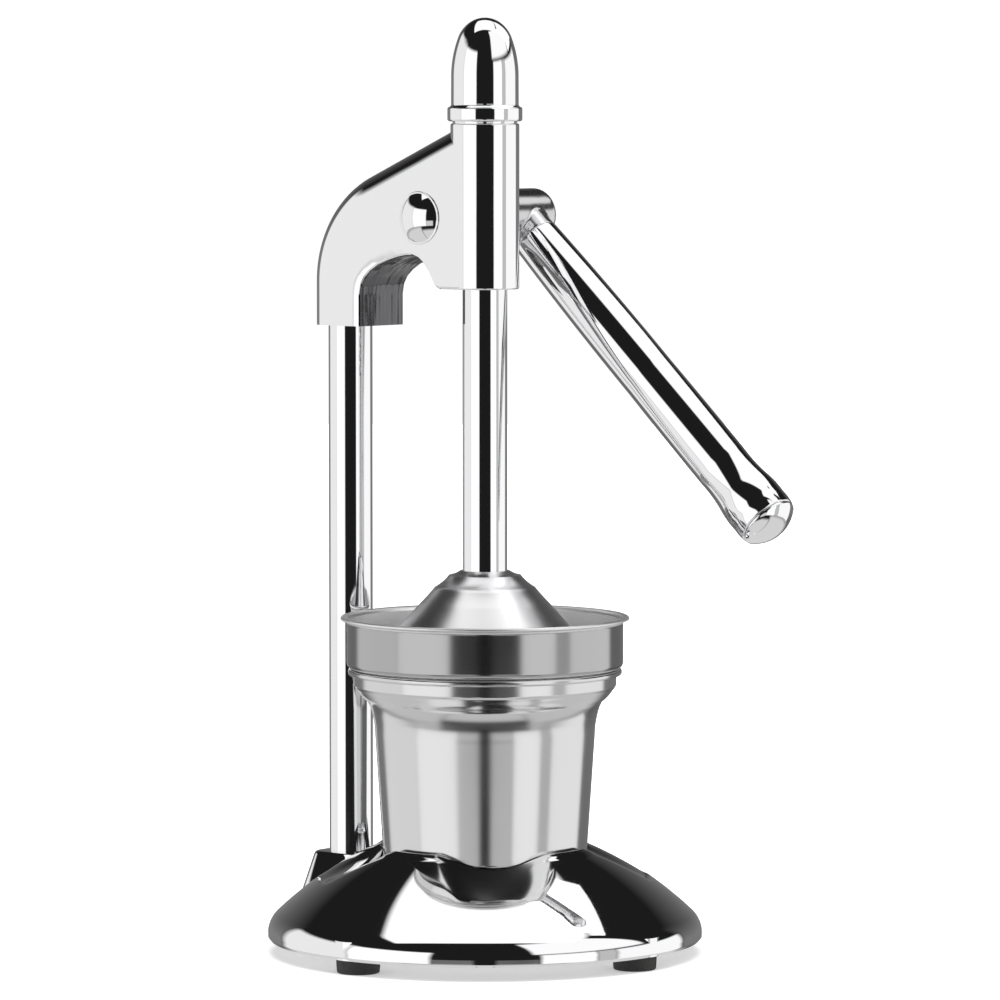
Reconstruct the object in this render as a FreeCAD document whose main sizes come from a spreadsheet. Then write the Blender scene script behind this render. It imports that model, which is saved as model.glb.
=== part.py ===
import FreeCAD, Part
import math
import os
import re
import Sketcher

# A lever-operated citrus press. +Z is up, -Y is the front, and the press axis is vertical at
# x = 0, y = press_axis_y. The handle is on the +X side. Every sub-part is modelled in the press
# frame, whose Z axis is the press axis, and its Placement then moves it by press_axis_y, so that
# the origin is the middle of the footprint of the whole press.

X, Y, Z = FreeCAD.Vector(1, 0, 0), FreeCAD.Vector(0, 1, 0), FreeCAD.Vector(0, 0, 1)
ALONG_X = FreeCAD.Rotation(Y, 90)
ALONG_MINUS_X = FreeCAD.Rotation(Y, -90)
ALONG_Y = FreeCAD.Rotation(X, -90)
FORMULA_WORD = re.compile(r"\b[a-z_]+\b")
FOOT_SIDES = [("front", 0, -1), ("left", -1, 0), ("right", 1, 0), ("back", 0, 1)]

# alias, value in millimetres, degrees or a count, meaning
DIMENSIONS = [
    ("press_axis_y", 14.77, "press axis behind the middle of the footprint"),
    ("fit_gap", 0.05, "radial clearance of a running fit"),
    ("part_gap", 0.3, "gap between pieces that move apart"),
    # base
    ("base_rim_radius", 92.6, "outer radius of the base"),
    ("base_rim_bottom", 6.0, "underside of the base rim"),
    ("base_rim_top", 9.0, "top of the upright rim band"),
    ("rim_round_radius", 12.3, "rounding from the rim band into the dome"),
    ("dome_shoulder_radius", 88.5, "radius where the dome starts"),
    ("dome_shoulder_height", 17.5, "height where the dome starts"),
    ("dome_arc_radius", 160.0, "radius of the dome's outline"),
    ("ring_outer_radius", 50.0, "outer radius of the ring round the cup seat"),
    ("ring_outer_height", 44.3, "height of the dome at the ring"),
    ("ring_top_radius", 46.6, "radius of the ring's crest"),
    ("ring_top_height", 46.6, "height of the ring's crest"),
    ("ring_round_radius", 8.0, "rounding of the ring's outer edge"),
    ("seat_radius", 44.6, "radius of the cup seat"),
    ("seat_floor_height", 36.0, "floor of the cup seat"),
    ("cavity_mouth_radius", 88.2, "radius of the hollow underside at the rim"),
    ("cavity_knee_radius", 74.0, "radius of the hollow's knee"),
    ("cavity_knee_height", 22.5, "height of the hollow's knee"),
    ("cavity_roof_radius", 56.0, "radius of the hollow's flat roof"),
    ("cavity_roof_height", 31.0, "height of the hollow's flat roof"),
    ("scoop_radius", 53.0, "radius of the scoops between the four ridges"),
    ("scoop_length", 95.0, "length of the cutter for a scoop"),
    ("scoop_start_radius", 38.1, "distance of the cutter's start from the press axis"),
    ("scoop_start_height", 100.4, "height of the cutter's start"),
    ("scoop_slope", 22.0, "fall of a scoop towards the rim, in degrees"),
    ("foot_radius", 9.3, "radius of a rubber foot"),
    ("foot_circle_radius", 82.0, "circle of the feet"),
    ("foot_height", 7.5, "height of a foot, with the part in its recess"),
    ("foot_edge", 1.0, "chamfer of a foot"),
    ("foot_boss_radius", 11.0, "radius of the solid boss over a foot"),
    # column
    ("column_y", 76.0, "column axis behind the press axis"),
    ("column_radius", 9.5, "radius of the column tube"),
    ("column_bore", 8.0, "inner radius of the column tube"),
    ("column_foot_height", 19.0, "floor of the column's socket in the base"),
    ("column_top_height", 296.0, "top of the column tube inside the head"),
    ("column_core_radius", 14.0, "solid core under the column"),
    ("boss_bottom_height", 14.0, "bottom section of the column boss"),
    ("boss_bottom_half", 27.0, "half width of the boss at the bottom"),
    ("boss_bottom_front", 50.0, "front of the boss at the bottom"),
    ("boss_bottom_back", 89.8, "back of the boss at the bottom"),
    ("boss_bottom_corner", 12.0, "corner radius of the boss at the bottom"),
    ("boss_top_height", 37.5, "top of the column boss"),
    ("boss_top_half", 13.3, "half width of the boss at the top"),
    ("boss_top_front", 62.7, "front of the boss at the top"),
    ("boss_top_back", 89.3, "back of the boss at the top"),
    ("boss_top_corner", 9.0, "corner radius of the boss at the top"),
    ("plug_height", 20.0, "height of the threaded plug in the column"),
    ("bolt_radius", 4.0, "shank radius of the column bolt"),
    ("bolt_hex_radius", 7.2, "corner radius of the bolt's hexagon"),
    ("bolt_head_height", 5.0, "height of the bolt's head"),
    ("bolt_recess_radius", 8.4, "recess for the bolt's head"),
    ("bolt_seat_height", 14.6, "height that the washer bears on"),
    ("washer_height", 1.2, "thickness of a washer"),
    # head
    ("head_half_width", 14.6, "half width of the head's rounded spine"),
    ("web_half_width", 14.2, "half width of the head's flat web"),
    ("head_bottom", 266.0, "bottom of the head's column socket"),
    ("spine_bend_radius", 35.0, "bend radius of the head's spine"),
    ("spine_bend_y", 41.0, "centre of the bend behind the press axis"),
    ("spine_bend_height", 284.9, "height of the centre of the bend"),
    ("spine_bend_angle", 66.6, "angle of the bend, in degrees"),
    ("spine_knee_y", 54.9, "where the bend meets the sloping spine"),
    ("spine_knee_height", 317.0, "height where the bend meets the sloping spine"),
    ("spine_start_y", 8.0, "start of the sloping spine, inside the barrel"),
    ("spine_start_height", 337.3, "height of that start"),
    ("spine_length", 51.1, "length of the sloping spine"),
    ("spine_fall", 23.4, "slope of the spine, in degrees"),
    ("arch_leg_y", 58.0, "inner face of the column socket"),
    ("arch_leg_top", 279.0, "top of that face"),
    ("arch_rear_radius", 16.0, "rounding at the rear of the arch"),
    ("arch_rear_y", 45.5, "rear end of the arch's crown"),
    ("arch_rear_height", 293.0, "height there"),
    ("arch_front_y", 32.0, "front end of the arch's crown"),
    ("arch_front_height", 296.6, "height there"),
    ("arch_front_radius", 14.0, "rounding at the front of the arch"),
    ("arch_foot_y", 19.5, "where the arch turns down to the barrel"),
    ("arch_foot_height", 291.0, "height there"),
    ("barrel_radius", 14.7, "radius of the barrel"),
    ("barrel_bottom", 283.0, "bottom of the barrel"),
    ("barrel_top", 353.1, "top of the barrel"),
    ("cap_neck_bore", 12.0, "radius of the cap's spigot"),
    ("cap_neck_depth", 8.0, "depth of the cap's spigot"),
    ("socket_gap", 0.02, "clearance of a part glued or pressed in the castings"),
    ("grub_radius", 2.5, "radius of a grub screw"),
    ("grub_low_height", 272.0, "height of the lower grub screw"),
    ("grub_pitch", 10.0, "distance between the grub screws"),
    # barrel cap
    ("cap_flange_radius", 15.9, "radius of the cap's flange"),
    ("cap_flange_bottom", 353.8, "bottom of the cap's flange"),
    ("cap_flange_top", 360.4, "top of the cap's flange"),
    ("cap_flange_edge", 1.2, "chamfer of the cap's flange"),
    ("cap_neck_radius", 13.9, "radius of the groove under the flange"),
    ("cap_body_radius", 14.3, "radius of the cap above the flange"),
    ("cap_body_top", 374.0, "top of the cap's straight part"),
    ("cap_waist_radius", 11.5, "radius where the cap's ogive meets its round nose"),
    ("cap_waist_height", 388.7, "height there"),
    ("cap_ogive_radius", 40.0, "radius of the ogive"),
    ("cap_top", 397.8, "top of the cap"),
    ("cap_bore", 10.6, "inner radius of the cap"),
    ("cap_bore_top", 390.0, "top of the cap's bore"),
    # plunger
    ("rod_radius", 9.5, "radius of the plunger rod"),
    ("rod_top", 326.0, "top of the plunger rod at rest"),
    ("bush_radius", 11.6, "outer radius of the plunger bush"),
    ("bush_top", 291.0, "top of the plunger bush"),
    ("rack_pitch", 6.283185, "pitch of the rack, pi times the module of 2"),
    ("rack_spaces", 13, "number of tooth spaces in the rack"),
    ("rack_low_height", 243.885, "height of the lowest tooth space"),
    ("rack_half_width", 4.6, "half width of the milled rack"),
    ("rack_root_y", 5.0, "bottom of the tooth spaces"),
    ("rack_root_half", 0.76, "half width of a tooth space at its bottom"),
    ("rack_mouth_y", 10.0, "plane outside the rod where a tooth space ends"),
    ("rack_mouth_half", 2.58, "half width of a tooth space there"),
    # press bell
    ("bell_top", 163.3, "top of the press bell"),
    ("bell_crown_radius", 11.5, "radius of the bell's flat crown"),
    ("bell_shoulder_radius", 21.2, "radius of the bell's shoulder"),
    ("bell_shoulder_height", 156.3, "height of the bell's shoulder"),
    ("bell_shoulder_arc", 13.0, "rounding of the shoulder"),
    ("bell_skirt_radius", 46.0, "radius of the bell's skirt"),
    ("bell_skirt_height", 129.0, "top of the bell's skirt"),
    ("bell_bottom", 126.0, "bottom of the bell's skirt"),
    ("bell_wall", 2.0, "wall of the bell"),
    ("bell_screw_radius", 4.0, "shank radius of the bell's screw"),
    ("bell_screw_length", 16.0, "length of the shank in the rod"),
    ("bell_screw_head", 3.6, "height of the screw's head"),
    ("bell_washer_radius", 9.0, "radius of the washer under the bell"),
    # pinion, shaft and handle
    ("shaft_y", 24.5, "shaft axis behind the press axis"),
    ("shaft_height", 313.0, "height of the shaft axis"),
    ("shaft_radius", 6.0, "radius of the shaft"),
    ("shaft_left", -16.8, "left end of the shaft"),
    ("shaft_right", 60.0, "right end of the shaft"),
    ("bearing_radius", 9.0, "outer radius of the shaft bushes"),
    ("bearing_inner", 7.2, "inner face of the shaft bushes"),
    ("boss_right", 34.0, "face of the head's bearing boss"),
    ("bearing_boss_radius", 12.5, "radius of the head's bearing boss"),
    ("pinion_half", 4.2, "half of the pinion's face width"),
    ("pinion_hub_half", 6.6, "half of the pinion hub's length"),
    ("pinion_hub_radius", 10.0, "radius of the pinion's hub"),
    ("pinion_teeth", 17, "teeth of the pinion"),
    ("pinion_pitch_radius", 17.0, "pitch radius of the pinion"),
    ("pinion_tip_radius", 19.0, "tip radius of the pinion"),
    ("pinion_root_radius", 14.6, "root radius of the pinion"),
    ("pinion_tooth", 3.02, "tooth thickness on the pitch circle"),
    ("pressure_angle", 20.0, "pressure angle, in degrees"),
    ("pocket_radius", 20.2, "radius of the pinion's pocket"),
    ("pocket_half", 7.1, "half width of the pinion's pocket"),
    ("pocket_front", 12.3, "front of the pocket's opening in the arch"),
    ("pocket_back", 46.0, "back of the pocket's opening in the arch"),
    ("key_side", 3.0, "side of the pinion's key"),
    ("ring_radius", 7.4, "outer radius of the retaining ring"),
    ("ring_left", -16.1, "left face of the retaining ring"),
    ("ring_right", -15.1, "right face of the retaining ring"),
    ("ring_groove", 5.2, "radius of the groove in the shaft"),
    ("dome_radius", 11.3, "radius of the domed cap over the shaft"),
    ("dome_rise", 5.0, "height of the domed cap"),
    ("dome_wall", 0.9, "wall of the domed cap"),
    ("handle_x", 51.0, "plane of the handle"),
    ("handle_fall", 42.7, "angle of the handle below level at rest, in degrees"),
    ("hub_radius", 11.6, "radius of the handle hub"),
    ("hub_left", 35.0, "inner face of the handle hub"),
    ("hub_right", 66.0, "outer face of the handle hub"),
    ("hub_edge", 1.6, "chamfer of the handle hub"),
    ("neck_radius", 10.0, "radius of the hub's neck"),
    ("neck_length", 15.0, "end of the hub's neck from the shaft axis"),
    ("spigot_radius", 8.0, "radius of the spigot in the handle tube"),
    ("spigot_length", 36.0, "end of the spigot from the shaft axis"),
    ("grip_start_radius", 10.1, "radius of the handle tube at the hub"),
    ("grip_middle_radius", 11.5, "radius of the handle tube half way"),
    ("grip_middle", 100.0, "distance of that place from the shaft axis"),
    ("grip_flare_radius", 11.8, "radius where the flare starts"),
    ("grip_flare", 156.0, "distance where the flare starts"),
    ("grip_flare_arc", 200.0, "radius of the flare's outline"),
    ("grip_end_radius", 13.25, "radius of the handle tube at its end"),
    ("grip_end", 186.5, "end of the handle tube from the shaft axis"),
    ("grip_wall", 1.4, "wall of the handle tube"),
    ("grip_cap_top", 193.2, "top of the end cap from the shaft axis"),
    ("grip_cap_depth", 8.0, "depth of the end cap's spigot"),
    # cup
    ("cup_rim_radius", 58.3, "outer radius of the cup's rolled rim"),
    ("cup_rim_bottom", 119.0, "bottom of the rolled rim"),
    ("cup_rim_top", 121.5, "top of the rolled rim"),
    ("cup_neck_radius", 56.0, "radius of the cup's neck"),
    ("cup_neck_bottom", 114.5, "bottom of the neck"),
    ("cup_shoulder_radius", 49.6, "radius half way down the shoulder"),
    ("cup_shoulder_height", 107.0, "height half way down the shoulder"),
    ("cup_shoulder_arc", 13.0, "rounding of the shoulder's top"),
    ("cup_waist_radius", 47.2, "radius under the shoulder"),
    ("cup_waist_height", 98.0, "height under the shoulder"),
    ("cup_waist_arc", 20.0, "rounding under the shoulder"),
    ("cup_foot_radius", 43.5, "radius at the foot of the body"),
    ("cup_foot_height", 42.5, "height of the foot of the body"),
    ("cup_bottom_arc", 6.0, "rounding of the bottom edge"),
    ("cup_bottom_radius", 37.6, "radius of the flat bottom"),
    ("cup_wall", 1.0, "wall of the cup"),
    # bowl
    ("bowl_lip_radius", 61.4, "radius of the bowl's lip"),
    ("bowl_lip_top", 143.8, "top of the bowl's lip"),
    ("bowl_lip_height", 1.4, "thickness of the lip's edge"),
    ("bowl_lip_fall", 3.0, "height of the whole lip"),
    ("bowl_radius", 58.9, "outer radius of the bowl"),
    ("bowl_corner", 2.5, "rounding of the bowl's bottom edge"),
    ("bowl_bottom", 121.8, "underside of the bowl's floor"),
    ("bowl_wall", 1.0, "wall of the bowl"),
    ("collar_radius", 54.6, "outer radius of the collar in the cup"),
    ("collar_bottom", 116.6, "bottom of the collar"),
    ("disc_radius", 55.0, "radius of the strainer disc"),
    ("disc_wall", 1.0, "thickness of the strainer disc"),
    ("disc_hole_radius", 12.0, "hole in the middle of the strainer disc"),
    ("slot_count", 30, "slots in the strainer disc"),
    ("slot_inner_radius", 42.0, "inner end of a slot"),
    ("slot_length", 9.0, "length of a slot"),
    ("slot_width", 2.2, "width of a slot"),
    ("reamer_radius", 39.0, "radius of the reamer's foot"),
    ("reamer_foot_height", 2.0, "height of the reamer's foot"),
    ("reamer_slope_radius", 34.0, "radius where the reamer's cone starts"),
    ("reamer_nose_radius", 6.0, "radius of the nose's edge"),
    ("reamer_nose_rise", 17.5, "height of the nose's edge above the disc"),
    ("reamer_nose_arc", 7.5, "rounding of the nose"),
    ("reamer_rise", 20.5, "height of the reamer above the disc"),
    ("flute_count", 10, "flutes of the reamer"),
    ("flute_nose_radius", 1.75, "radius of a flute's cutter at the nose"),
    ("flute_foot_radius", 7.5, "radius of a flute's cutter at the foot"),
    ("flute_length", 28.0, "length of a flute's cutter"),
    ("flute_start_radius", 7.74, "distance of the cutter's start from the axis"),
    ("flute_start_rise", 20.65, "height of the cutter's start above the disc"),
    ("flute_fall", 28.97, "fall of a flute, in degrees"),
]

doc = FreeCAD.newDocument("citrus_press")
sheet = doc.addObject("Spreadsheet::Sheet", "dims")
for row, (alias, value, meaning) in enumerate(DIMENSIONS, start=1):
    sheet.set(f"A{row}", alias)
    sheet.set(f"B{row}", str(value))
    sheet.set(f"C{row}", meaning)
    sheet.setAlias(f"B{row}", alias)
doc.recompute()
SIZE = {alias: value for alias, value, _ in DIMENSIONS}


def number(formula):
    """The value of a formula of aliases, for a starting shape and for loops."""
    return float(sheet.evalExpression(formula))


def bind(thing, path, formula):
    """Binds a property to a formula of aliases, such as "rod_radius + fit_gap"."""
    thing.setExpression(path, FORMULA_WORD.sub(r"dims.\g<0>", formula))


def place(thing, x="0", y="0", z="0", turn=FreeCAD.Rotation()):
    """Puts a thing at a bound place in the press frame."""
    thing.Placement = FreeCAD.Placement(FreeCAD.Vector(), turn)
    for letter, formula in zip("xyz", (x, y, z)):
        bind(thing, f"Placement.Base.{letter}", formula)
    return thing


def origin_plane(body, role):
    """One of a body's own origin planes."""
    return next(part for part in body.Origin.OriginFeatures if part.Role == role)


def outline(body, name, plane, corners):
    """Draws a closed outline. A corner is (x, y), or (x, y, side, radius) where the edge that
    leaves it is an arc whose centre lies to that side of its chord. Every size is a formula."""
    sketch = body.newObject("Sketcher::SketchObject", name)
    sketch.AttachmentSupport = [(origin_plane(body, plane), "")]
    sketch.MapMode = "FlatFace"
    spots = [FreeCAD.Vector(number(c[0]), number(c[1]), 0) for c in corners]
    ends = []
    for index, corner in enumerate(corners):
        here, there = spots[index], spots[(index + 1) % len(corners)]
        if len(corner) == 2:
            edge = sketch.addGeometry(Part.LineSegment(here, there), False)
            ends.append((edge, 1, 2))
            continue
        side, radius = corner[2], number(corner[3])
        chord = there - here
        left = FreeCAD.Vector(-chord.y, chord.x, 0).normalize()
        reach = math.sqrt(radius ** 2 - (chord.Length / 2) ** 2)
        centre = (here + there) / 2 + left * (reach if side == "left" else -reach)
        first, last = (here, there) if side == "left" else (there, here)
        start = math.atan2(first.y - centre.y, first.x - centre.x)
        stop = math.atan2(last.y - centre.y, last.x - centre.x)
        circle = Part.Circle(centre, FreeCAD.Vector(0, 0, 1), radius)
        edge = sketch.addGeometry(Part.ArcOfCircle(circle, start, stop), False)
        ends.append((edge, 1, 2) if side == "left" else (edge, 2, 1))
    for index, corner in enumerate(corners):
        edge, start, stop = ends[index]
        after, after_start, _ = ends[(index + 1) % len(corners)]
        sketch.addConstraint(Sketcher.Constraint("Coincident", edge, stop, after, after_start))
        for kind, axis, formula in (("DistanceX", -2, corner[0]), ("DistanceY", -1, corner[1])):
            if formula == "0":
                sketch.addConstraint(Sketcher.Constraint("PointOnObject", edge, start, axis))
                continue
            value = number(formula)
            rule = sketch.addConstraint(Sketcher.Constraint(kind, -1, 1, edge, start, value))
            bind(sketch, f"Constraints[{rule}]", formula)
        if len(corner) == 4:
            value = number(corner[3])
            rule = sketch.addConstraint(Sketcher.Constraint("Radius", edge, value))
            bind(sketch, f"Constraints[{rule}]", corner[3])
    return sketch


def turned(name, corners):
    """A body turned about Z from a half section of (radius, height) corners."""
    body = doc.addObject("PartDesign::Body", name)
    section = outline(body, f"{name}_section", "XZ_Plane", corners)
    turning = body.newObject("PartDesign::Revolution", f"{name}_turning")
    turning.Profile = section
    turning.ReferenceAxis = (section, ["V_Axis"])
    turning.Angle = 360
    return body


def pad(body, section, length, midplane=False):
    """Pads a section of a body."""
    block = body.newObject("PartDesign::Pad", f"{section.Name}_pad")
    block.Profile = section
    block.Midplane = midplane
    bind(block, "Length", length)
    return block


def cylinder(name, radius, height, x="0", y="0", z="0", turn=FreeCAD.Rotation()):
    """A cylinder from a bound place along the turned Z axis."""
    rod = doc.addObject("Part::Cylinder", name)
    bind(rod, "Radius", radius)
    bind(rod, "Height", height)
    return place(rod, x, y, z, turn)


def box(name, length, width, height, x="0", y="0", z="0", turn=FreeCAD.Rotation()):
    """A box from a bound corner."""
    block = doc.addObject("Part::Box", name)
    bind(block, "Length", length)
    bind(block, "Width", width)
    bind(block, "Height", height)
    return place(block, x, y, z, turn)


def fuse(name, *pieces):
    """Joins pieces to one solid."""
    joined = doc.addObject("Part::MultiFuse", name)
    joined.Shapes = list(pieces)
    joined.Refine = True
    return joined


def cut(name, whole, *tools):
    """Takes tools away from a solid."""
    result = doc.addObject("Part::Cut", name)
    result.Base = whole
    result.Tool = tools[0] if len(tools) == 1 else fuse(f"{name}_tools", *tools)
    result.Refine = True
    return result


def round_tube(name, radius, bore, height, **where):
    """A straight tube."""
    outer = cylinder(f"{name}_outer", radius, height, **where)
    inner = cylinder(f"{name}_bore", bore, height, **where)
    return cut(name, outer, inner)


def dome_radius_of(edge, rise):
    """The sphere's radius for a dome with this edge radius and rise, so that its centre lies on
    the axis."""
    return f"({edge} ^ 2 + {rise} ^ 2) / (2 * {rise})"


def around(count_alias):
    """The bearings, in degrees, of a feature that is repeated round Z."""
    count = int(SIZE[count_alias])
    return [360 * step / count for step in range(count)]


# ---------------------------------------------------------------- base and column


def base_casting():
    dome = turned("dome", [
        ("0", "base_rim_bottom"),
        ("base_rim_radius - 1", "base_rim_bottom"),
        ("base_rim_radius", "base_rim_bottom + 1"),
        ("base_rim_radius", "base_rim_top", "left", "rim_round_radius"),
        ("dome_shoulder_radius", "dome_shoulder_height", "left", "dome_arc_radius"),
        ("ring_outer_radius", "ring_outer_height", "left", "ring_round_radius"),
        ("ring_top_radius", "ring_top_height"),
        ("seat_radius + 0.8", "ring_top_height"),
        ("seat_radius", "ring_top_height - 0.8"),
        ("seat_radius", "seat_floor_height"),
        ("0", "seat_floor_height"),
    ])
    cavity = turned("base_cavity", [
        ("0", "base_rim_bottom - 1"),
        ("cavity_mouth_radius", "base_rim_bottom - 1"),
        ("cavity_mouth_radius", "base_rim_top"),
        ("cavity_knee_radius", "cavity_knee_height"),
        ("cavity_roof_radius", "cavity_roof_height"),
        ("0", "cavity_roof_height"),
    ])
    kept = [cylinder("column_core", "column_core_radius", "cavity_roof_height", y="column_y")]
    recesses = []
    for side, along_x, along_y in FOOT_SIDES:
        spot = {"x": f"{along_x} * foot_circle_radius", "y": f"{along_y} * foot_circle_radius"}
        kept.append(cylinder(f"foot_boss_{side}", "foot_boss_radius", "cavity_roof_height", **spot))
        recess = cylinder(f"foot_recess_{side}", "foot_radius + socket_gap", "foot_height", **spot)
        recesses.append(recess)
    hollow = cut("base_hollow", cavity, *kept)
    scoops = []
    for bearing in (45, 135, 225, 315):
        lean = FreeCAD.Rotation(Y, 90 + SIZE["scoop_slope"])
        along_x, along_y = math.cos(math.radians(bearing)), math.sin(math.radians(bearing))
        scoops.append(cylinder(f"scoop_{bearing}", "scoop_radius", "scoop_length",
                               x=f"{along_x:.6f} * scoop_start_radius",
                               y=f"{along_y:.6f} * scoop_start_radius", z="scoop_start_height",
                               turn=FreeCAD.Rotation(Z, bearing).multiply(lean)))
    whole = fuse("base_with_column_boss", dome, column_boss())
    return cut(
        "base_casting", whole, hollow, *scoops, *recesses,
        cylinder("column_socket", "column_radius + socket_gap", "boss_top_height",
                 y="column_y", z="column_foot_height"),
        cylinder("bolt_hole", "bolt_radius + fit_gap", "column_foot_height", y="column_y"),
        cylinder("bolt_recess", "bolt_recess_radius", "bolt_seat_height", y="column_y"),
    )


def column_boss():
    """The tapered block that rises from the rear of the base and holds the column."""
    body = doc.addObject("PartDesign::Body", "column_boss")
    sections = []
    for level in ("bottom", "top"):
        half, corner = f"boss_{level}_half", f"boss_{level}_corner"
        front, back = f"boss_{level}_front", f"boss_{level}_back"
        section = outline(body, f"boss_{level}", "XY_Plane", [
            (f"{half} - {corner}", front, "left", corner),
            (half, f"{front} + {corner}"),
            (half, f"{back} - {corner}", "left", corner),
            (f"{half} - {corner}", back),
            (f"-{half} + {corner}", back, "left", corner),
            (f"-{half}", f"{back} - {corner}"),
            (f"-{half}", f"{front} + {corner}", "left", corner),
            (f"-{half} + {corner}", front),
        ])
        bind(section, "AttachmentOffset.Base.z", f"boss_{level}_height")
        sections.append(section)
    block = body.newObject("PartDesign::AdditiveLoft", "column_boss_loft")
    block.Profile = sections[0]
    block.Sections = [sections[1]]
    block.Ruled = True
    return body


def foot(side, along_x, along_y):
    rubber = turned(f"foot_{side}", [
        ("0", "0"),
        ("foot_radius - foot_edge", "0"),
        ("foot_radius", "foot_edge"),
        ("foot_radius", "foot_height"),
        ("0", "foot_height"),
    ])
    return place(rubber, f"{along_x} * foot_circle_radius", f"{along_y} * foot_circle_radius")


def column_tube():
    return round_tube("column_tube", "column_radius", "column_bore",
                      "column_top_height - column_foot_height", y="column_y", z="column_foot_height")


def column_plug():
    return round_tube("column_plug", "column_bore", "bolt_radius", "plug_height",
                      y="column_y", z="column_foot_height")


def column_washer():
    return round_tube("column_washer", "bolt_recess_radius - 0.6", "bolt_radius + fit_gap",
                      "washer_height", y="column_y", z="bolt_seat_height - washer_height")


def column_bolt():
    head = doc.addObject("Part::Prism", "column_bolt_head")
    bind(head, "Circumradius", "bolt_hex_radius")
    bind(head, "Height", "bolt_head_height")
    place(head, y="column_y", z="bolt_seat_height - washer_height - bolt_head_height")
    shank = cylinder("column_bolt_shank", "bolt_radius",
                     "column_foot_height + plug_height - bolt_seat_height",
                     y="column_y", z="bolt_seat_height - washer_height")
    return fuse("column_bolt", head, shank)


# ---------------------------------------------------------------- head


def head_casting():
    into_yz = FreeCAD.Rotation(Y, Z, X, "XYZ")
    bend = doc.addObject("Part::Torus", "spine_bend")
    bind(bend, "Radius1", "spine_bend_radius")
    bind(bend, "Radius2", "head_half_width")
    bind(bend, "Angle3", "spine_bend_angle")
    place(bend, y="spine_bend_y", z="spine_bend_height", turn=into_yz)
    down_back = FreeCAD.Rotation(X, -90 - SIZE["spine_fall"])
    body = doc.addObject("PartDesign::Body", "head_web")
    web = outline(body, "head_web_section", "YZ_Plane", [
        ("0", "barrel_bottom"),
        ("barrel_radius", "barrel_bottom"),
        ("arch_foot_y", "arch_foot_height", "right", "arch_front_radius"),
        ("arch_front_y", "arch_front_height"),
        ("arch_rear_y", "arch_rear_height", "right", "arch_rear_radius"),
        ("arch_leg_y", "arch_leg_top"),
        ("arch_leg_y", "head_bottom"),
        ("column_y", "head_bottom"),
        ("column_y", "spine_bend_height", "left", "spine_bend_radius"),
        ("spine_knee_y", "spine_knee_height"),
        ("0", "spine_start_height + 0.433 * spine_start_y"),
    ])
    pad(body, web, "2 * web_half_width", midplane=True)
    whole = fuse(
        "head_whole", body, bend,
        cylinder("spine_leg", "head_half_width", "spine_bend_height - head_bottom",
                 y="column_y", z="head_bottom"),
        cylinder("spine_slope", "head_half_width", "spine_length",
                 y="spine_start_y", z="spine_start_height", turn=down_back),
        cylinder("barrel", "barrel_radius", "barrel_top - barrel_bottom", z="barrel_bottom"),
        cylinder("bearing_boss", "bearing_boss_radius", "boss_right",
                 y="shaft_y", z="shaft_height", turn=ALONG_X),
    )
    return cut(
        "head_casting", whole,
        cylinder("rod_bore", "rod_radius + 2 * fit_gap", "barrel_top", z="barrel_bottom - 1"),
        cylinder("bush_bore", "bush_radius + socket_gap", "bush_top - barrel_bottom + 1",
                 z="barrel_bottom - 1"),
        cylinder("cap_bore", "cap_neck_bore + socket_gap", "cap_neck_depth + 1",
                 z="barrel_top - cap_neck_depth"),
        cylinder("pinion_pocket", "pocket_radius", "2 * pocket_half",
                 x="-pocket_half", y="shaft_y", z="shaft_height", turn=ALONG_X),
        box("pocket_opening", "2 * pocket_half", "pocket_back - pocket_front",
            "shaft_height - head_bottom", x="-pocket_half", y="pocket_front", z="head_bottom + 1"),
        cylinder("bearing_bore", "bearing_radius + socket_gap", "boss_right + head_half_width + 2",
                 x="-head_half_width - 1", y="shaft_y", z="shaft_height", turn=ALONG_X),
        cylinder("head_socket", "column_radius + socket_gap", "column_top_height - head_bottom + 1",
                 y="column_y", z="head_bottom - 1"),
        *[cylinder(f"grub_hole_{index}", "grub_radius + socket_gap", "head_half_width + 1",
                   y="column_y", z=f"grub_low_height + {index} * grub_pitch", turn=ALONG_Y)
          for index in range(2)],
    )


def head_grub_screws():
    screws = []
    for index in range(2):
        level = f"grub_low_height + {index} * grub_pitch"
        screw = cylinder(f"grub_{index}", "grub_radius", "head_half_width - column_radius - 0.6",
                         y="column_y + column_radius + 0.1", z=level, turn=ALONG_Y)
        socket = doc.addObject("Part::Prism", f"grub_socket_{index}")
        bind(socket, "Circumradius", "0.58 * grub_radius")
        bind(socket, "Height", "0.8 * grub_radius")
        place(socket, y="column_y + head_half_width - 0.5 - 0.8 * grub_radius", z=level,
              turn=ALONG_Y)
        screws.append(cut(f"grub_screw_{index}", screw, socket))
    group = doc.addObject("Part::Compound", "head_grub_screws")
    group.Links = screws
    return group


def barrel_cap():
    return turned("barrel_cap", [
        ("cap_bore", "barrel_top - cap_neck_depth"),
        ("cap_neck_bore", "barrel_top - cap_neck_depth"),
        ("cap_neck_bore", "barrel_top"),
        ("cap_neck_radius", "barrel_top"),
        ("cap_neck_radius", "cap_flange_bottom"),
        ("cap_flange_radius - cap_flange_edge", "cap_flange_bottom"),
        ("cap_flange_radius", "cap_flange_bottom + cap_flange_edge"),
        ("cap_flange_radius", "cap_flange_top - cap_flange_edge"),
        ("cap_flange_radius - cap_flange_edge", "cap_flange_top"),
        ("cap_body_radius", "cap_flange_top"),
        ("cap_body_radius", "cap_body_top", "left", "cap_ogive_radius"),
        ("cap_waist_radius", "cap_waist_height", "left",
         dome_radius_of("cap_waist_radius", "(cap_top - cap_waist_height)")),
        ("0", "cap_top"),
        ("0", "cap_bore_top"),
        ("0.6 * cap_bore", "cap_bore_top"),
        ("cap_bore", "cap_bore_top - 0.6 * cap_bore"),
    ])


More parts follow.
